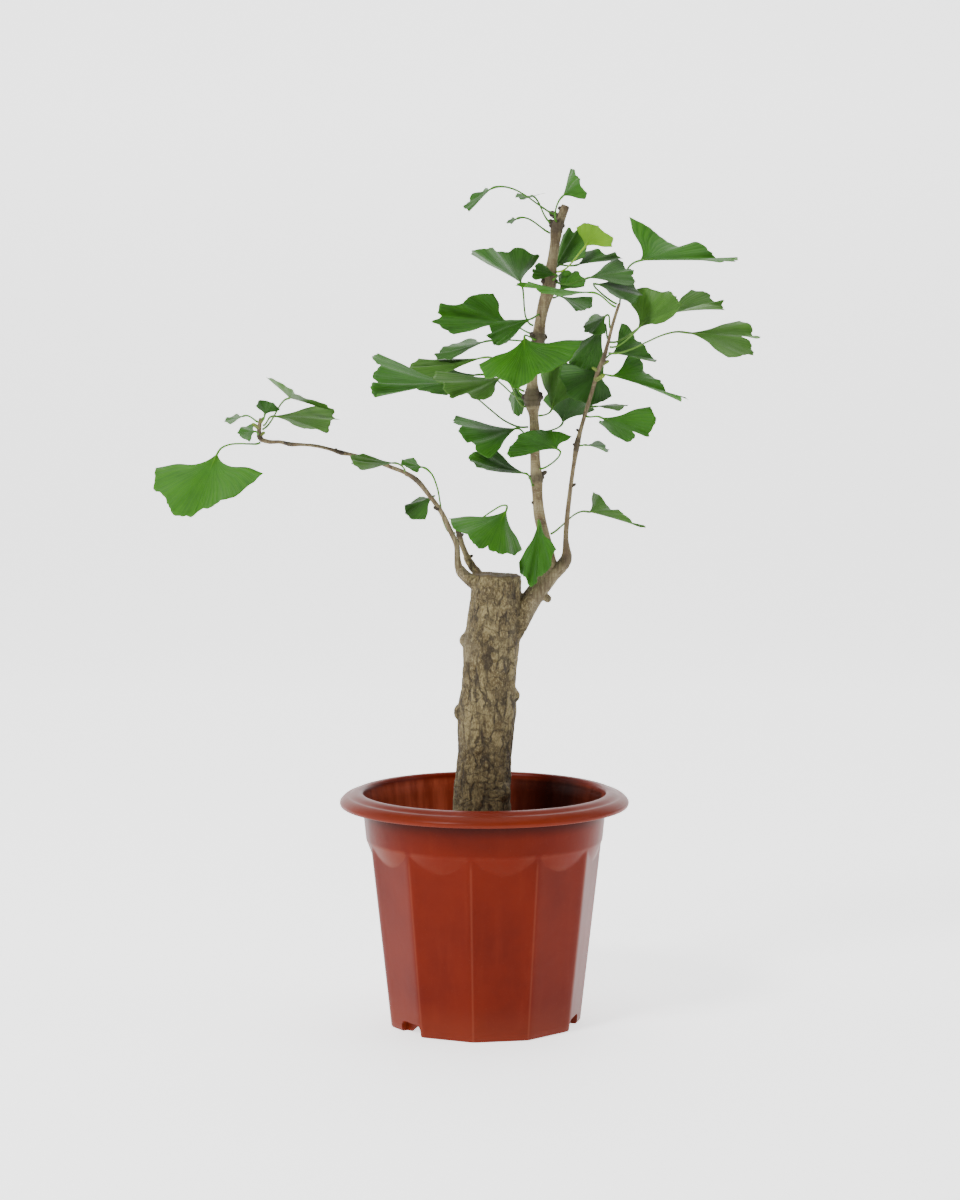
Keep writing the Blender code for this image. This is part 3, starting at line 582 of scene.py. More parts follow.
# ---------------- old wood
# The stout cut-off trunk with the old limb that grew from its right side, and the
# swollen collars of the left shoots. It is one piece of wood with cracked, olive-
# brown bark, and its top is an old saw cut.
WOOD_SIDES = 32
TRUNK_SIDES = 64
BALL_SIDES = 16
LIMB_STEP = 1.5 * MM
BARK_GRID = 0.72 * MM
FREE_END = 2.8 * MM


def linked(mesh):
    """The points of a plain solid and, for each, the points it shares an edge with."""
    bm = bmesh.new()
    bm.from_mesh(mesh)
    bmesh.ops.remove_doubles(bm, verts=bm.verts, dist=0.001 * MM)
    bm.verts.index_update()
    points = np.array([v.co for v in bm.verts])
    near = [{e.other_vert(v).index for e in v.link_edges} for v in bm.verts]
    bm.free()
    return points, near


def layers_from(start, near):
    """The points grouped by how many edges they are away from the start."""
    layers = [set(start)]
    seen = set(start)
    while True:
        following = {n for v in layers[-1] for n in near[v]} - seen
        if not following:
            return layers
        layers.append(following)
        seen |= following


class Stem:
    """A stem's middle line and radii, from its free end down to where it is cut off."""

    def __init__(self, centres, radii):
        self.centres = centres
        self.radii = radii
        steps = np.linalg.norm(np.diff(centres, axis=0), axis=1)
        self.length = np.concatenate([[0], np.cumsum(steps)])

    def grown_from(self, parent, below, swell):
        """Carry the cut-off end on into the middle of the wood that it grows from."""
        at = np.linspace(0, parent.length[-1], 400)
        fine = spline(parent.length, parent.centres, at)
        nearest = at[np.argmin(np.linalg.norm(fine - self.centres[-1], axis=1))]
        step = fine[np.searchsorted(at, min(nearest + below, at[-2]))] - self.centres[-1]
        shares, swells = np.array([0.45, 0.95]), np.array([0.4, 1.0])
        distance = np.linalg.norm(step)
        self.centres = np.vstack([self.centres, self.centres[-1] + np.outer(shares, step)])
        self.radii = np.append(self.radii, self.radii[-1] * (1 + swell * swells))
        self.length = np.append(self.length, self.length[-1] + distance * shares)
        self.inside = distance * shares[-1]
        return self

    def rings(self, step, sides=WOOD_SIDES, start=0.0, end=None, shape=None):
        """Fine rings of the stem between two lengths from its free end."""
        end = self.length[-1] if end is None else end
        # the small extra keeps rounding from changing the number of rings from run to run
        at = np.linspace(start, end, max(3, int((end - start) / step + 0.000001)))
        centres = spline(self.length, self.centres, at)
        radii = spline(self.length, self.radii, at)
        along = np.gradient(centres, at, axis=0)
        along /= np.linalg.norm(along, axis=1)[:, None]
        across = np.array([0.0, 1.0, 0.0])
        turns = turns_round(sides)
        out = []
        for k in range(len(at)):
            across = across - along[k] * across.dot(along[k])
            across /= np.linalg.norm(across)
            side = np.cross(along[k], across)
            r = radii[k] * (shape(at[k], turns) if shape else np.ones(sides))
            out.append(centres[k] + np.outer(r * np.cos(turns), across) + np.outer(r * np.sin(turns), side))
        return out


def stem_of(name):
    """The stem that a plain solid stands for, read from its rings of points."""
    points, near = linked(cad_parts[name].data)
    top = points[:, 2].max()
    layers = layers_from({i for i, p in enumerate(points) if p[2] > top - FREE_END}, near)
    rings = [points[sorted(layer)] for layer in layers]
    whole = [len(ring) == len(rings[0]) for ring in rings]
    rings = rings[:whole.index(False)] if False in whole else rings
    centres = np.array([ring.mean(axis=0) for ring in rings])
    radii = [np.linalg.norm(ring - centre, axis=1).mean() for ring, centre in zip(rings, centres)]
    return Stem(centres, np.array(radii))


BARK_DARK = (0.09, 0.062, 0.02)
BARK_PALE = (0.235, 0.185, 0.08)
BARK_FLECKS = (0.29, 0.235, 0.115)
BARK_CRACK = (0.018, 0.010, 0.003)
BARK_SOILED = (0.06, 0.037, 0.012)


def old_bark_colour(start):
    """Olive-brown plates and dark cracks, browner near the soil, greyer and smoother on the limb."""
    place = start.place()
    patches = start.streaks(place, (75, 75, 45), 5, 0.7)
    fine = start.streaks(place, (1100, 1100, 520), 4, 0.75)
    upright = start.streaks(place, (230, 230, 48), 5, 0.75)
    height = start.axes(place)[2]
    base = start.mix(patches.between(0.4, 0.6), BARK_DARK, BARK_PALE)
    base = start.mix(fine.between(0.45, 0.7), base, BARK_FLECKS)
    base = start.mix(upright.between(0.5, 0.36) * 0.8, base, (0.035, 0.021, 0.006))
    base = start.mix(fine.between(0.5, 0.3) * 0.75, base, (0.05, 0.032, 0.01))
    base = start.mix(height.between(SOIL_TOP + 110 * MM, SOIL_TOP) * 0.4, base, BARK_SOILED)
    base = start.mix(bark_cracks(start, place) * 0.82, base, BARK_CRACK)
    depth = start.attribute("crack")
    base = start.mix(depth.between(0.2, 0.8) * 0.75, base, (0.025, 0.015, 0.005))
    young = start.attribute("limb")
    grey = start.mix(fine.between(0.35, 0.65), (0.15, 0.115, 0.055), (0.29, 0.24, 0.14))
    base = start.mix(young * (0.75 - depth * 0.4), base, grey)
    cut = start.attribute("cut")
    sawn = start.mix(fine.between(0.4, 0.7), (0.12, 0.08, 0.034), (0.055, 0.036, 0.014))
    return start.mix(cut, base, sawn)


def bark_cracks(start, place):
    """1 in the uneven upright cracks between plates of bark, and in a few cross wrinkles."""
    bend = start.node("TexNoise", None,
                      {"Vector": place, "Scale": 130.0, "Detail": 4.0, "Roughness": 0.65}, 1)

    def plate_edge(scale):
        """How far a place is from the edge of its plate of bark."""
        bent = start.node("VectorMath", {"operation": "ADD"}, {0: start.stretched(place, scale), 1: bend})
        return start.node("TexVoronoi", {"feature": "DISTANCE_TO_EDGE"}, {"Vector": bent, "Scale": 1.0})

    upright = plate_edge((150, 150, 38))
    across = plate_edge((45, 45, 150))
    deep = start.noise(place, 95, 3).between(0.36, 0.6)
    return start.math("MAXIMUM", upright.between(0.13, 0.03) * (deep * 0.85 + 0.1),
                      across.between(0.06, 0.01) * (1 - deep) * 0.7)


def old_bark_relief(start):
    place = start.place()
    fine = start.streaks(place, (1100, 1100, 420), 4, 0.75)
    upright = start.streaks(place, (230, 230, 48), 5, 0.75)
    return fine * 0.5 + upright * 0.8 - bark_cracks(start, place) * 0.7 + start.noise(place, 260, 4) * 0.7


bark_roughness = even_roughness(300, 0.15, 0.74)
old_bark = finish("old_bark", old_bark_colour, bark_roughness, old_bark_relief, 1.8)
trunk = stem_of("trunk")
leader = stem_of("right_stem").grown_from(trunk, 48 * MM, 0.55)
left_branch = stem_of("left_branch").grown_from(trunk, 12 * MM, 0.6)
left_twig = stem_of("left_twig").grown_from(trunk, 12 * MM, 0.5)
side_shoot = stem_of("side_shoot").grown_from(leader, 30 * MM, 0.9)
OLD_LIMB = leader.inside + 22 * MM
COLLAR = 9 * MM
ELBOW_DROP = 15 * MM
STUB_OFFSET = np.array([6.5, -1, -6]) * MM
STUB_RADIUS = 3 * MM
CUT_EDGE = 2.2 * MM
CUT_BLEND = 1.2 * MM
LIMB_DROP = 60 * MM
SOIL_COVER = 12 * MM
top_of_trunk = trunk.centres[0]
trunk_end = trunk.length[-1] - (SOIL_TOP - SOIL_COVER - trunk.centres[-1][2])
# healed knots: mm below the trunk's top, degrees round from the front,
# how far out as a share of the radius, and size in mm
KNOTS = (
    (46, -86, 0.86, 6.0), (96, -84, 0.84, 6.5), (84, 84, 0.86, 5.5), (62, 20, 0.8, 6.5),
    (118, -25, 0.82, 7.0), (150, 50, 0.84, 7.5), (30, 140, 0.82, 6.5), (104, 170, 0.84, 7.0),
    (160, -130, 0.82, 8.0), (168, -60, 0.85, 7.0))
wood_points, wood_faces = [], []


def add_wood(rings):
    wood_faces.extend(loft(rings, len(wood_points)))
    wood_points.extend(np.concatenate(rings))


def trunk_shape(at, turns):
    """Shallow flutes that run down the trunk, and a swelling under the cut."""
    flutes = 0.018 * np.sin(3 * turns + at * 22) + 0.013 * np.sin(5 * turns - at * 35 + 1)
    return 1 + flutes - 0.05 * math.exp(-at / (1.6 * MM))


add_wood(trunk.rings(2 * MM, TRUNK_SIDES, 0, trunk_end, trunk_shape))
add_wood(leader.rings(LIMB_STEP, WOOD_SIDES, leader.length[-1] - OLD_LIMB))
for shoot in (left_branch, left_twig):
    add_wood(shoot.rings(LIMB_STEP, WOOD_SIDES, shoot.length[-1] - shoot.inside - COLLAR))


def ball(place, radius):
    """A closed lump with its middle at a place."""
    turns = turns_round(BALL_SIDES)
    rows = []
    for tilt in np.linspace(0.1, 3.04, 12):
        wide, low = radius * math.sin(tilt), np.full(BALL_SIDES, -radius * math.cos(tilt))
        rows.append(place + np.stack([wide * np.cos(turns), wide * np.sin(turns), low], axis=1))
    return rows


for drop, turn, out, size in KNOTS:
    centre = spline(trunk.length, trunk.centres, [drop * MM])[0]
    radius = spline(trunk.length, trunk.radii, [drop * MM])[0]
    angle = math.radians(turn - 90)
    add_wood(ball(centre + np.array([math.cos(angle), math.sin(angle), 0]) * radius * out, size * MM))
elbow = spline(leader.length, leader.centres, [leader.length[-1] - OLD_LIMB + ELBOW_DROP])[0]
add_wood(ball(elbow + STUB_OFFSET, STUB_RADIUS))

def keep_values(piece, **values):
    """Keep numbers for the material at the points of a piece."""
    for label, numbers in values.items():
        layer = piece.data.attributes.new(label, "FLOAT", "POINT")
        layer.data.foreach_set("value", np.array(numbers, dtype=float))


wood = add_piece("old_wood", wood_points, wood_faces, None)
remesh = wood.modifiers.new("one_skin", "REMESH")
remesh.mode = "VOXEL"
remesh.voxel_size = BARK_GRID
smooth = wood.modifiers.new("flares", "SMOOTH")
smooth.factor = 0.5
smooth.iterations = 14
keep_result(wood)
bark_mesh = wood.data
count = len(bark_mesh.vertices)
places = np.empty(count * 3)
bark_mesh.vertices.foreach_get("co", places)
places = places.reshape(-1, 3)
normals = np.array([v.normal for v in bark_mesh.vertices])
cut_height = top_of_trunk[2]
cracks = np.zeros(count)
sawn = np.zeros(count)
limb = np.zeros(count)
for i, (x, y, z) in enumerate(places):
    # on the saw cut, then on the limb, then in a crack or a cross wrinkle of the bark
    nearness = math.hypot(x - top_of_trunk[0], y - top_of_trunk[1]) / trunk.radii[0]
    on_cut = clamp((z - cut_height + CUT_EDGE) / CUT_BLEND)
    on_cut *= 1 if nearness < 0.98 and normals[i][2] > 0.5 else 0
    bend = noise.noise(Vector((x, y, z)) * 90) * 1.1
    plates = noise.fractal(Vector((x * 150, y * 150, z * 60)), 0.7, 2.0, 3)
    lines = noise.noise(Vector((x * 120 + bend, y * 120 - bend, z * 24 + bend)))
    rings = noise.noise(Vector((x * 35 + 9, y * 35 + bend, z * 140 + bend)))
    crack = max(0.0, 1 - abs(lines) * 7) * (0.3 + 0.7 * clamp(0.5 + plates))
    wrinkle = max(0.0, 1 - abs(rings) * 9) * clamp(0.4 - plates) * 1.2
    smoother = clamp((nearness - 1.15) / 0.35) * (1 if z > cut_height - LIMB_DROP else 0)
    limb[i] = smoother
    depth = (crack * 0.75 + wrinkle * 0.55) * (1 - on_cut) * (1 - 0.75 * smoother)
    cracks[i] = depth
    sawn[i] = on_cut
    lift = plates * 0.55 * (1 - 0.6 * smoother) - depth * 0.95
    lift += on_cut * noise.noise(Vector((x, y, 3)) * 260) * 0.8
    on_shoot = z >= cut_height and nearness >= 1.1
    places[i] += normals[i] * lift * MM * (0.8 if on_shoot else 1.0)
bark_mesh.vertices.foreach_set("co", places.reshape(-1))
keep_values(wood, crack=cracks, cut=sawn, limb=limb)
bark_mesh.update()
bark_mesh.shade_smooth()
bark_mesh.materials.clear()
bark_mesh.materials.append(old_bark)
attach(wood, "root")
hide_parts("trunk")

# ---------------- young wood
# Slim shoots of the last few years, with smooth tan and brown bark. They swell at
# each old leaf place, where a short spur with ring-shaped scars stands, some with a bud.
YOUNG_STEP = 1.0 * MM
BROWN_REACH = 160 * MM
BROWNEST = 0.75
SCAR_COLOUR = (0.014, 0.008, 0.004)
# how far along a spur, as a share of its reach, and how wide, as a share of its radius
SPUR_PROFILE = ((-0.3, 1.15), (0.15, 1.1), (0.3, 0.92), (0.42, 1.0), (0.55, 0.84), (0.68, 0.9),
                (0.82, 0.72), (0.94, 0.5), (1.0, 0.2))
SPUR_SIDES = 12


def young_bark_colour(start):
    place = start.place()
    patches = start.noise(place, 75, 4, 0.65)
    streaks = start.streaks(place, (520, 520, 60), 4, 0.65)
    dots = start.noise(place, 1100, 2, 0.6)
    rings = start.streaks(place, (60, 60, 900), 3)
    base = start.mix(patches.between(0.35, 0.65), (0.155, 0.115, 0.052), (0.25, 0.21, 0.11))
    base = start.mix(streaks.between(0.45, 0.7) * 0.6, base, (0.085, 0.055, 0.026))
    base = start.mix(patches.between(0.46, 0.36) * 0.6, base, (0.06, 0.036, 0.016))
    base = start.mix(dots.between(0.58, 0.7) * 0.6, base, (0.36, 0.32, 0.2))
    base = start.mix(rings.between(0.55, 0.7) * 0.4, base, (0.05, 0.03, 0.015))
    browner = start.attribute("browner")
    base = start.mix(browner * streaks.between(0.25, 0.65), base, (0.06, 0.038, 0.018))
    scar = start.attribute("scar")
    base = start.mix(scar * 0.92, base, SCAR_COLOUR)
    bud = start.attribute("bud")
    bud_green = start.mix(dots.between(0.4, 0.6), (0.10, 0.2, 0.01), (0.2, 0.34, 0.02))
    return start.mix(bud, base, bud_green)


def young_bark_relief(start):
    place = start.place()
    streaks = start.streaks(place, (520, 520, 60), 4)
    return streaks * 0.7 + start.noise(place, 1100, 2) * 0.3


young_bark = finish("young_bark", young_bark_colour, bark_roughness, young_bark_relief, 0.5)


def spur(place, aim, radius, reach):
    """Rings of a short blunt spur that stands on a stem, with scars like a stack of rings."""
    aim = aim / np.linalg.norm(aim)
    across = np.cross(aim, (0.3, 1.0, 0.1))
    across /= np.linalg.norm(across)
    side = np.cross(aim, across)
    turns = turns_round(SPUR_SIDES)
    rounds = np.outer(np.cos(turns), across) + np.outer(np.sin(turns), side)
    return [place + aim * reach * share + rounds * radius * width for share, width in SPUR_PROFILE]


def young_piece(name, node, stem, sides, slim, old, stubs):
    """One young stem with spurs where its plain solid is thicker, and stubs at given places.

    A stub is its distance from the free end in mm, its turn round the stem (0 is right),
    its radius and reach in mm, and 1 if it ends in a green bud."""
    end = stem.length[-1] - old
    at = np.arange(0, end, YOUNG_STEP)
    radii = spline(stem.length, stem.radii, at)
    even = np.convolve(np.pad(radii, 14, mode="edge"), np.ones(29) / 29, mode="valid")
    swell = np.clip((radii / even - 1.02) * 9, 0, 1)

    def shape(length, turns):
        k = min(len(at) - 1, int(length / YOUNG_STEP))
        ripple = 0.05 * swell[k] * np.sin(length * 4200) + 0.03 * np.sin(2 * turns + length * 60)
        return slim * (1 + ripple + 0.04 * np.sin(3 * turns - length * 150))

    rings = stem.rings(YOUNG_STEP, sides, 0, end, shape)
    centre = rings[0].mean(axis=0)
    tip = centre + (centre - rings[1].mean(axis=0)) * 0.8
    rings = [tip + (rings[0] - centre) * 0.35, tip + (rings[0] - centre) * 0.8] + rings
    points, faces = list(np.concatenate(rings)), loft(rings)
    marks = [swell[min(len(at) - 1, row)] * 0.7 for row in range(len(rings)) for _ in range(sides)]
    knots = [k for k in range(3, len(at) - 3) if swell[k] > 0.3 and radii[k] == radii[k - 3:k + 4].max()]
    buds = [0.0] * len(marks)

    def add_spur(k, turn, radius, reach, bud):
        middle = rings[k + 2].mean(axis=0)
        along = rings[k + 1].mean(axis=0) - rings[k + 3].mean(axis=0)
        along /= np.linalg.norm(along)
        out = np.array([math.cos(turn), -0.5 * math.sin(turn + k), 0.1]) + along * 0.45
        lump = spur(middle + out * radii[k] * 0.55, out, radius, reach)
        faces.extend(loft(lump, len(points)))
        points.extend(np.concatenate(lump))
        marks.extend([0.95 * (1 - bud)] * (len(lump) * SPUR_SIDES))
        buds.extend([share * bud for share in np.linspace(0.3, 1, len(lump)) for _ in range(SPUR_SIDES)])

    for number, k in enumerate(knots):
        for turn in (0.2, 3.3) if radii[k] > 3.4 * MM else (3.1 * (number % 2) + 0.2,):
            add_spur(k, turn, radii[k] * 0.42, radii[k] * 0.7, 0)
    for along, turn, radius, reach, bud in stubs:
        add_spur(int(along * MM / YOUNG_STEP), turn, radius * MM, reach * MM, bud)
    piece = add_piece(name, points, faces, young_bark)
    browner = np.full(len(points), BROWNEST)
    if old:
        below_top = stem.centres[0][2] - np.array(points)[:, 2]
        browner *= np.maximum(0, 1 - below_top / BROWN_REACH)
    keep_values(piece, scar=marks, bud=buds, browner=browner)
    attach(piece, "root")
    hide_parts(node)


young_piece("leader_shoot", "right_stem", leader, 20, 0.95, OLD_LIMB - 6 * MM, (
    (3, 3.3, 1.6, 3, 0), (9, 3.2, 2.6, 7, 0), (14, 3.0, 2.2, 5, 0), (50, 3.4, 2.0, 4, 0),
    (91, 3.0, 2.2, 4, 0), (93, 0.3, 1.8, 4, 0), (132, 0.2, 1.9, 4, 0), (186, 0.1, 1.8, 6, 0),
    (205, 3.1, 1.3, 3, 0)))
young_piece("side_shoot_wood", "side_shoot", side_shoot, 14, 0.88, 0.0, (
    (42, 0.3, 1.4, 5, 1), (47, 3.1, 1.2, 4, 1), (53, 0.1, 1.6, 6, 1), (90, 3.1, 1.0, 2.5, 0),
    (128, 0.2, 1.1, 3, 0)))
young_piece("left_shoot", "left_branch", left_branch, 14, 0.82, 0.0, (
    (2, 1.2, 1.3, 4, 1), (6, 3.6, 1.4, 5, 1), (11, 0.5, 1.3, 4, 1), (32, 1.5, 0.9, 3.5, 0),
    (66, 1.2, 1.0, 3, 0), (120, 3.2, 1.2, 3, 0), (150, 3.1, 1.4, 3, 0)))
young_piece("left_twig_wood", "left_twig", left_twig, 14, 0.82, 0.0, (
    (10, 3.1, 1.1, 3, 0), (22, 0.2, 1.2, 3, 0)))

# ---------------- leaves
# Fan-shaped leaves on thin stalks. Each blade is a thin sheet whose fine veins
# spread and fork from the stalk to an uneven, wavy margin, often with a cleft.
BLADE_COLUMNS = 57
BLADE_ROWS = 20
BLADE_THICKNESS = 0.32 * MM
NET_ROWS = (0.0, 0.13, 0.38, 0.66, 0.88, 1.0)
STALK_SIDES = 7
STALK_SLIM = 0.92
VEINS = 27
VEIN_FORK = (0.3, 0.42)
LEAF_SEED = 7


def leaf_colour(light, dark, veins):
    """Colour of one kind of leaf, with radial streaks of painted shading and sheen, paler at its veins, its
    base and its margin.
    """

    def colour(start):
        across, outwards, _ = start.axes(start.node("UVMap", {"uv_map": "blade"}))
        leaf_tint = start.attribute("tint")
        # radial streaks of painted shading and sheen, as along the blade's folds, mixed with patches of leaf
        # tone; they also make the veins wander
        fan = start.node("CombineXYZ", None, {0: across * 26, 1: outwards * 1.3, 2: leaf_tint * 40})
        streaks = start.noise(fan, 1, 4, 0.7)
        patches = start.noise(start.place(), 55, 3)
        base = start.mix((streaks * 0.7 + patches * 0.5).between(0.35, 0.85), dark, light)
        wander = streaks * 0.012
        first = vein(across + wander, VEINS)
        second = vein(across + wander, 2 * VEINS) * outwards.between(*VEIN_FORK)
        lines = first.math("MAXIMUM", first, second) * (1 - outwards.between(0.9, 1.0) * 0.4)
        base = start.mix(lines * 0.2, base, veins)
        pale = (1 - outwards.between(0.0, 0.2)) * 0.6 + outwards.between(0.97, 0.995) * 0.35
        base = start.mix(pale, base, veins)
        shade = start.mix(leaf_tint, (0.82, 0.86, 0.8), (1.15, 1.12, 1.1))
        return start.node("Mix", {"data_type": "RGBA", "blend_type": "MULTIPLY"},
                          {0: 1.0, 6: base, 7: shade}, 2)

    return colour


def vein(across, count):
    """1 on the lines of a fan of veins and 0 between them."""
    place = (across * count).math("FRACT", across * count)
    return (place - 0.5).math("ABSOLUTE", place - 0.5).between(0.22, 0.03)


def leaf_relief(start):
    across, outwards, _ = start.axes(start.node("UVMap", {"uv_map": "blade"}))
    ridges = vein(across, VEINS) + vein(across, 2 * VEINS) * outwards.between(*VEIN_FORK)
    fan = start.node("CombineXYZ", None, {0: across * 34, 1: outwards * 2, 2: 0.0})
    return ridges * 0.5 + start.noise(fan, 1, 3)


# a leaf's slot, its material's name, and its light, dark and vein colours
LEAF_KINDS = (
    ("leaf_bright", "leaf_bright_green", (0.036, 0.17, 0.001), (0.018, 0.10, 0.0005), (0.08, 0.23, 0.008)),
    ("leaf_green", "leaf_mid_green", (0.032, 0.15, 0.002), (0.015, 0.088, 0.001), (0.07, 0.2, 0.012)),
    ("leaf_dark", "leaf_dark_green", (0.028, 0.12, 0.003), (0.012, 0.066, 0.0015), (0.055, 0.155, 0.01)),
    ("leaf_pale", "leaf_underside_green", (0.055, 0.16, 0.013), (0.03, 0.10, 0.006), (0.1, 0.21, 0.03)),
    ("leaf_young", "leaf_young_green", (0.15, 0.33, 0.004), (0.09, 0.25, 0.002), (0.22, 0.38, 0.02)))
leaf_finishes = {
    slot: finish(name, leaf_colour(light, dark, veins), even_roughness(120, 0.16, 0.4), leaf_relief, 0.3,
                 Specular_IOR_Level=0.28)
    for slot, name, light, dark, veins in LEAF_KINDS}


def loop_order(layer, points, near):
    """The points of one layer in order along their loop or line."""
    inside = {v: near[v] & layer for v in layer}
    ends = [v for v in layer if len(inside[v]) == 1]
    order = [ends[0] if ends else min(layer)]
    while len(order) < len(layer):
        following = [v for v in sorted(inside[order[-1]]) if v not in order]
        order.append(following[0])
    return points[order]


def middle_line(loop):
    """The line half way between the two sides of a flat loop."""
    count = len(loop)
    places = np.arange(count)
    folds = [np.linalg.norm(loop - loop[(s - places) % count], axis=1).sum() for s in range(1, 2 * count, 2)]
    fold = 1 + 2 * int(np.argmin(folds))
    first = (fold + 1) // 2
    rows = first + np.arange(count // 2)
    return (loop[rows % count] + loop[(fold - rows) % count]) / 2


def leaf_net(name):
    """The stalk's middle line and radii, and the blade's rows of points, of a leaf's plain solid."""
    points, near = linked(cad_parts[name].data)
    for tip in [v for v in range(len(points)) if len(near[v]) == 5]:
        layers = layers_from({tip}, near)
        if len(layers) == 12 and all(len(layer) == 5 for layer in layers[1:7]):
            break
    stalk = [points[tip]] + [points[sorted(layer)].mean(axis=0) for layer in layers[1:7]]
    radii = [np.linalg.norm(points[sorted(layer)] - centre, axis=1).mean()
             for layer, centre in zip(layers[1:7], stalk[1:])]
    margin = loop_order(layers[11], points, near)
    rows = [margin]
    for layer in reversed(layers[7:11]):
        line = middle_line(loop_order(layer, points, near))
        same = np.linalg.norm(line[0] - rows[0][0]) + np.linalg.norm(line[-1] - rows[0][-1])
        other = np.linalg.norm(line[0] - rows[0][-1]) + np.linalg.norm(line[-1] - rows[0][0])
        rows.insert(0, line if same <= other else line[::-1])
    rows.insert(0, np.repeat([stalk[-1]], len(margin), axis=0))
    return np.array(stalk), np.array([radii[0]] + radii), np.array(rows)


def blade_surface(rows, luck):
    """Fine points of a blade's middle surface, with small waves and an uneven margin."""
    columns = rows.shape[1]
    u = np.linspace(-1, 1, BLADE_COLUMNS)
    v = np.linspace(0.02, 1, BLADE_ROWS) ** 0.9
    net = spline(np.linspace(-1, 1, columns), rows.transpose(1, 0, 2), u).transpose(1, 0, 2)
    fine = spline(NET_ROWS, net, v)
    base = rows[0][0]
    reach = np.linalg.norm(rows[-1] - base, axis=1)
    size = reach.max()
    middle = columns // 2
    cleft = 1 - reach[middle] / ((reach[middle - 1] + reach[middle + 1]) / 2)
    seed = luck.random() * 100
    uneven = np.array([noise.fractal(Vector((x * 5, seed, 0)), 0.8, 2.0, 4) for x in u])
    teeth = np.array([noise.noise(Vector((x * 19, seed, 5))) for x in u])
    factor = 1 + 0.035 * uneven + 0.022 * teeth
    if cleft > 0.03:
        factor += cleft * (np.maximum(0, 1 - np.abs(u) * 4) ** 1.3 * 0.9 - np.exp(-(u / 0.055) ** 2) * 0.9)
    scale = 1 + (factor - 1)[None, :] * (v ** 3)[:, None]
    fine = base + (fine - base) * scale[:, :, None]
    normals = np.cross(np.gradient(fine, axis=1), np.gradient(fine, axis=0))
    normals /= np.linalg.norm(normals, axis=2)[:, :, None] + 1e-12
    phase = luck.random() * 6.28
    wave = 0.018 * np.sin(u * 9 + phase)[None, :] * (v ** 2)[:, None]
    wave = wave + 0.010 * np.sin(u * 21 + phase * 2)[None, :] * (v ** 4)[:, None]
    return fine + normals * (wave * size)[:, :, None], normals, u, v


def leaf_piece(name, luck):
    """One leaf: a thin closed blade and its stalk, which runs a little way up the blade."""
    stalk, radii, rows = leaf_net(name)
    fine, normals, u, v = blade_surface(rows, luck)
    half = BLADE_THICKNESS / 2 * np.minimum(1, 1.25 - v)[:, None, None] * np.ones((1, len(u), 1))
    upper = (fine + normals * half).reshape(-1, 3)
    lower = (fine - normals * half).reshape(-1, 3)
    points = list(upper) + list(lower)
    faces = []
    wide, total = len(u), len(upper)
    for row in range(len(v) - 1):
        for i in range(wide - 1):
            a = row * wide + i
            faces.append((a, a + 1, a + 1 + wide, a + wide))
            faces.append((total + a, total + a + wide, total + a + wide + 1, total + a + 1))
    rim = list(range(wide)) + [r * wide + wide - 1 for r in range(1, len(v))]
    rim += [(len(v) - 1) * wide + i for i in reversed(range(wide - 1))]
    rim += [r * wide for r in reversed(range(1, len(v) - 1))]
    faces += [(a, total + a, total + b, b) for a, b in zip(rim, rim[1:] + rim[:1])]
    coords = [((x + 1) / 2, y) for y in v for x in u] * 2
    rib = fine[:5, wide // 2]
    path = np.vstack([stalk, rib[1:]])
    thick = np.append(radii * STALK_SLIM, [0.55 * MM, 0.4 * MM, 0.28 * MM, 0.15 * MM])
    tube = Stem(path, thick)
    rings = tube.rings(max(1.2 * MM, tube.length[-1] / 30), STALK_SIDES)
    faces += loft(rings, len(points))
    points += list(np.concatenate(rings))
    coords += [(0.5, 0.0)] * (len(rings) * STALK_SIDES)
    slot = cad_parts[name].data.materials[0].name
    piece = add_piece(name.replace("leaf", "ginkgo_leaf"), points, faces, leaf_finishes[slot])
    layer = piece.data.uv_layers.new(name="blade")
    for loop in piece.data.loops:
        layer.data[loop.index].uv = coords[loop.vertex_index]
    keep_values(piece, tint=np.full(len(points), luck.random()))
    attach(piece, "root")
    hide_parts(name)


luck = random.Random(LEAF_SEED)
for name in sorted(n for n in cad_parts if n.startswith("leaf_")):
    leaf_piece(name, luck)

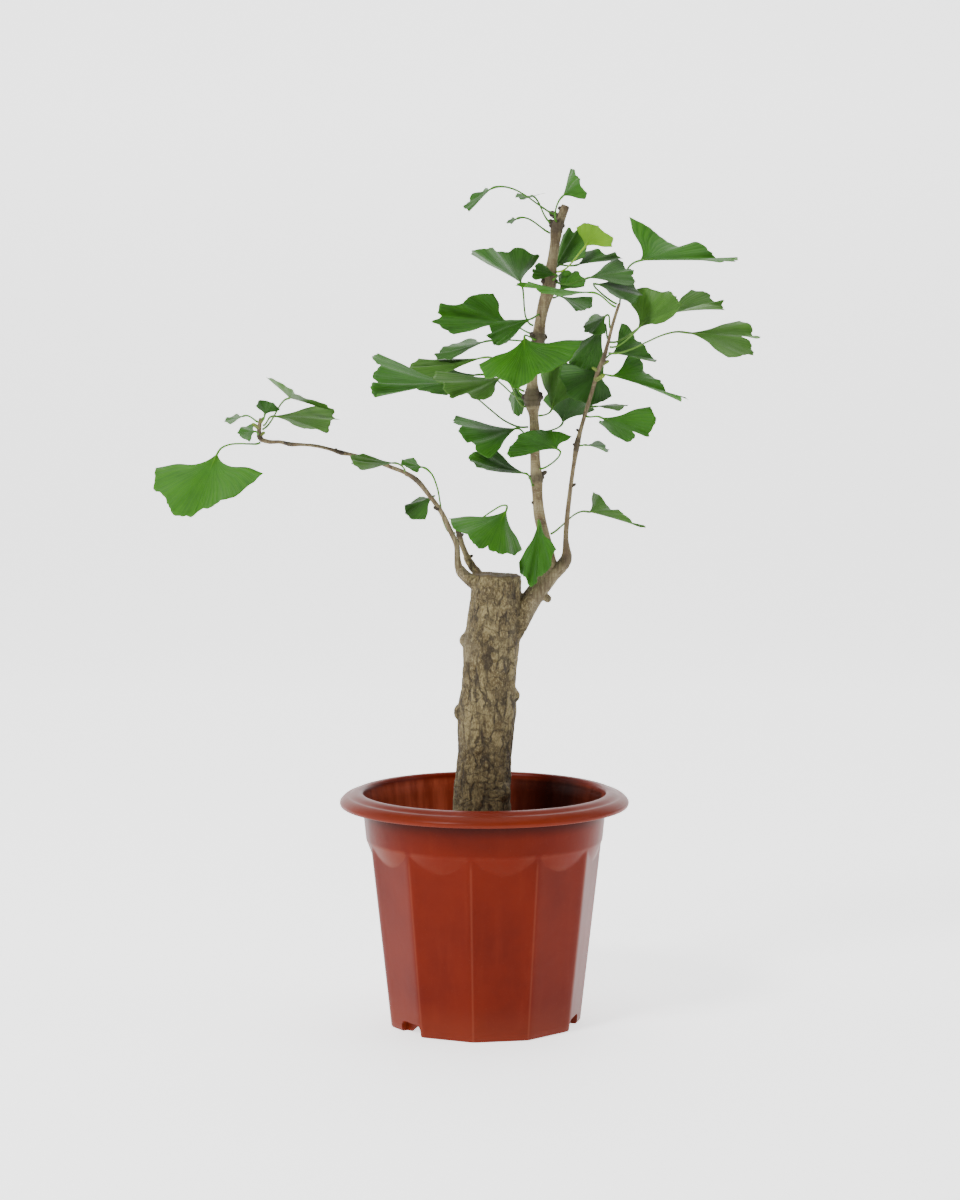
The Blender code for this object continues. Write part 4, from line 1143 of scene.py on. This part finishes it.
# ---------------- floor and light
# A pale floor that glows a little and curves up behind the pot, and large soft lamps.
# What shows past the floor is as pale as the floor is, but lights little.
FLOOR_FRONT = -3.0
FLOOR_BACK = 2.6
FLOOR_SIDE = 4.0
FLOOR_TOP = 3.5
FLOOR_GLOW = 1.5
BEND = 0.8
WORLD_SEEN = 1.85
WORLD_LIGHT = 0.1


def floor_colour(start):
    return start.mix(start.noise(start.place(), 3, 2), (0.93, 0.93, 0.93), (0.95, 0.95, 0.95))


floor_paint = finish("pale_floor", floor_colour, even_roughness(20, 0.05, 0.7),
                     Emission_Color=(1, 1, 1, 1), Emission_Strength=FLOOR_GLOW)
profile = [(FLOOR_FRONT, 0.0), (FLOOR_BACK - BEND, 0.0)]
profile += [(FLOOR_BACK - BEND + BEND * math.sin(turn), BEND - BEND * math.cos(turn))
            for turn in np.linspace(0.1, math.pi / 2, 14)]
profile += [(FLOOR_BACK, FLOOR_TOP)]
floor_points = [(x, y, z) for y, z in profile for x in (-FLOOR_SIDE, FLOOR_SIDE)]
floor_faces = [(2 * i, 2 * i + 1, 2 * i + 3, 2 * i + 2) for i in range(len(profile) - 1)]
floor = add_piece("floor", floor_points, floor_faces, floor_paint)


def lamp(name, place, aim, size, power):
    """A square soft lamp that faces a point."""
    light = bpy.data.lights.new(name, "AREA")
    light.size = size
    light.energy = power
    holder = new_object(name, light)
    holder.location = place
    holder.rotation_euler = (Vector(aim) - Vector(place)).to_track_quat("-Z", "Y").to_euler()


half_way_up = (0, 0, 0.3)
for name, place, size, power in (
        ("key_light", (-1.2, -1.5, 1.9), 0.6, 64), ("left_light", (-1.9, 0.25, 0.9), 1.2, 13),
        ("right_light", (1.9, -0.2, 1.1), 1.2, 13), ("top_light", (0.1, 0.3, 2.3), 1.6, 30)):
    lamp(name, place, half_way_up, size, power)
world = bpy.data.worlds.new("studio")
world.use_nodes = True
sky = world.node_tree.nodes["Background"]
sky.inputs["Color"].default_value = (1, 1, 1, 1)
seen = Shade(world.node_tree).node("LightPath")
strength = seen * (WORLD_SEEN - WORLD_LIGHT) + WORLD_LIGHT
world.node_tree.links.new(strength.socket, sky.inputs["Strength"])
bpy.context.scene.world = world
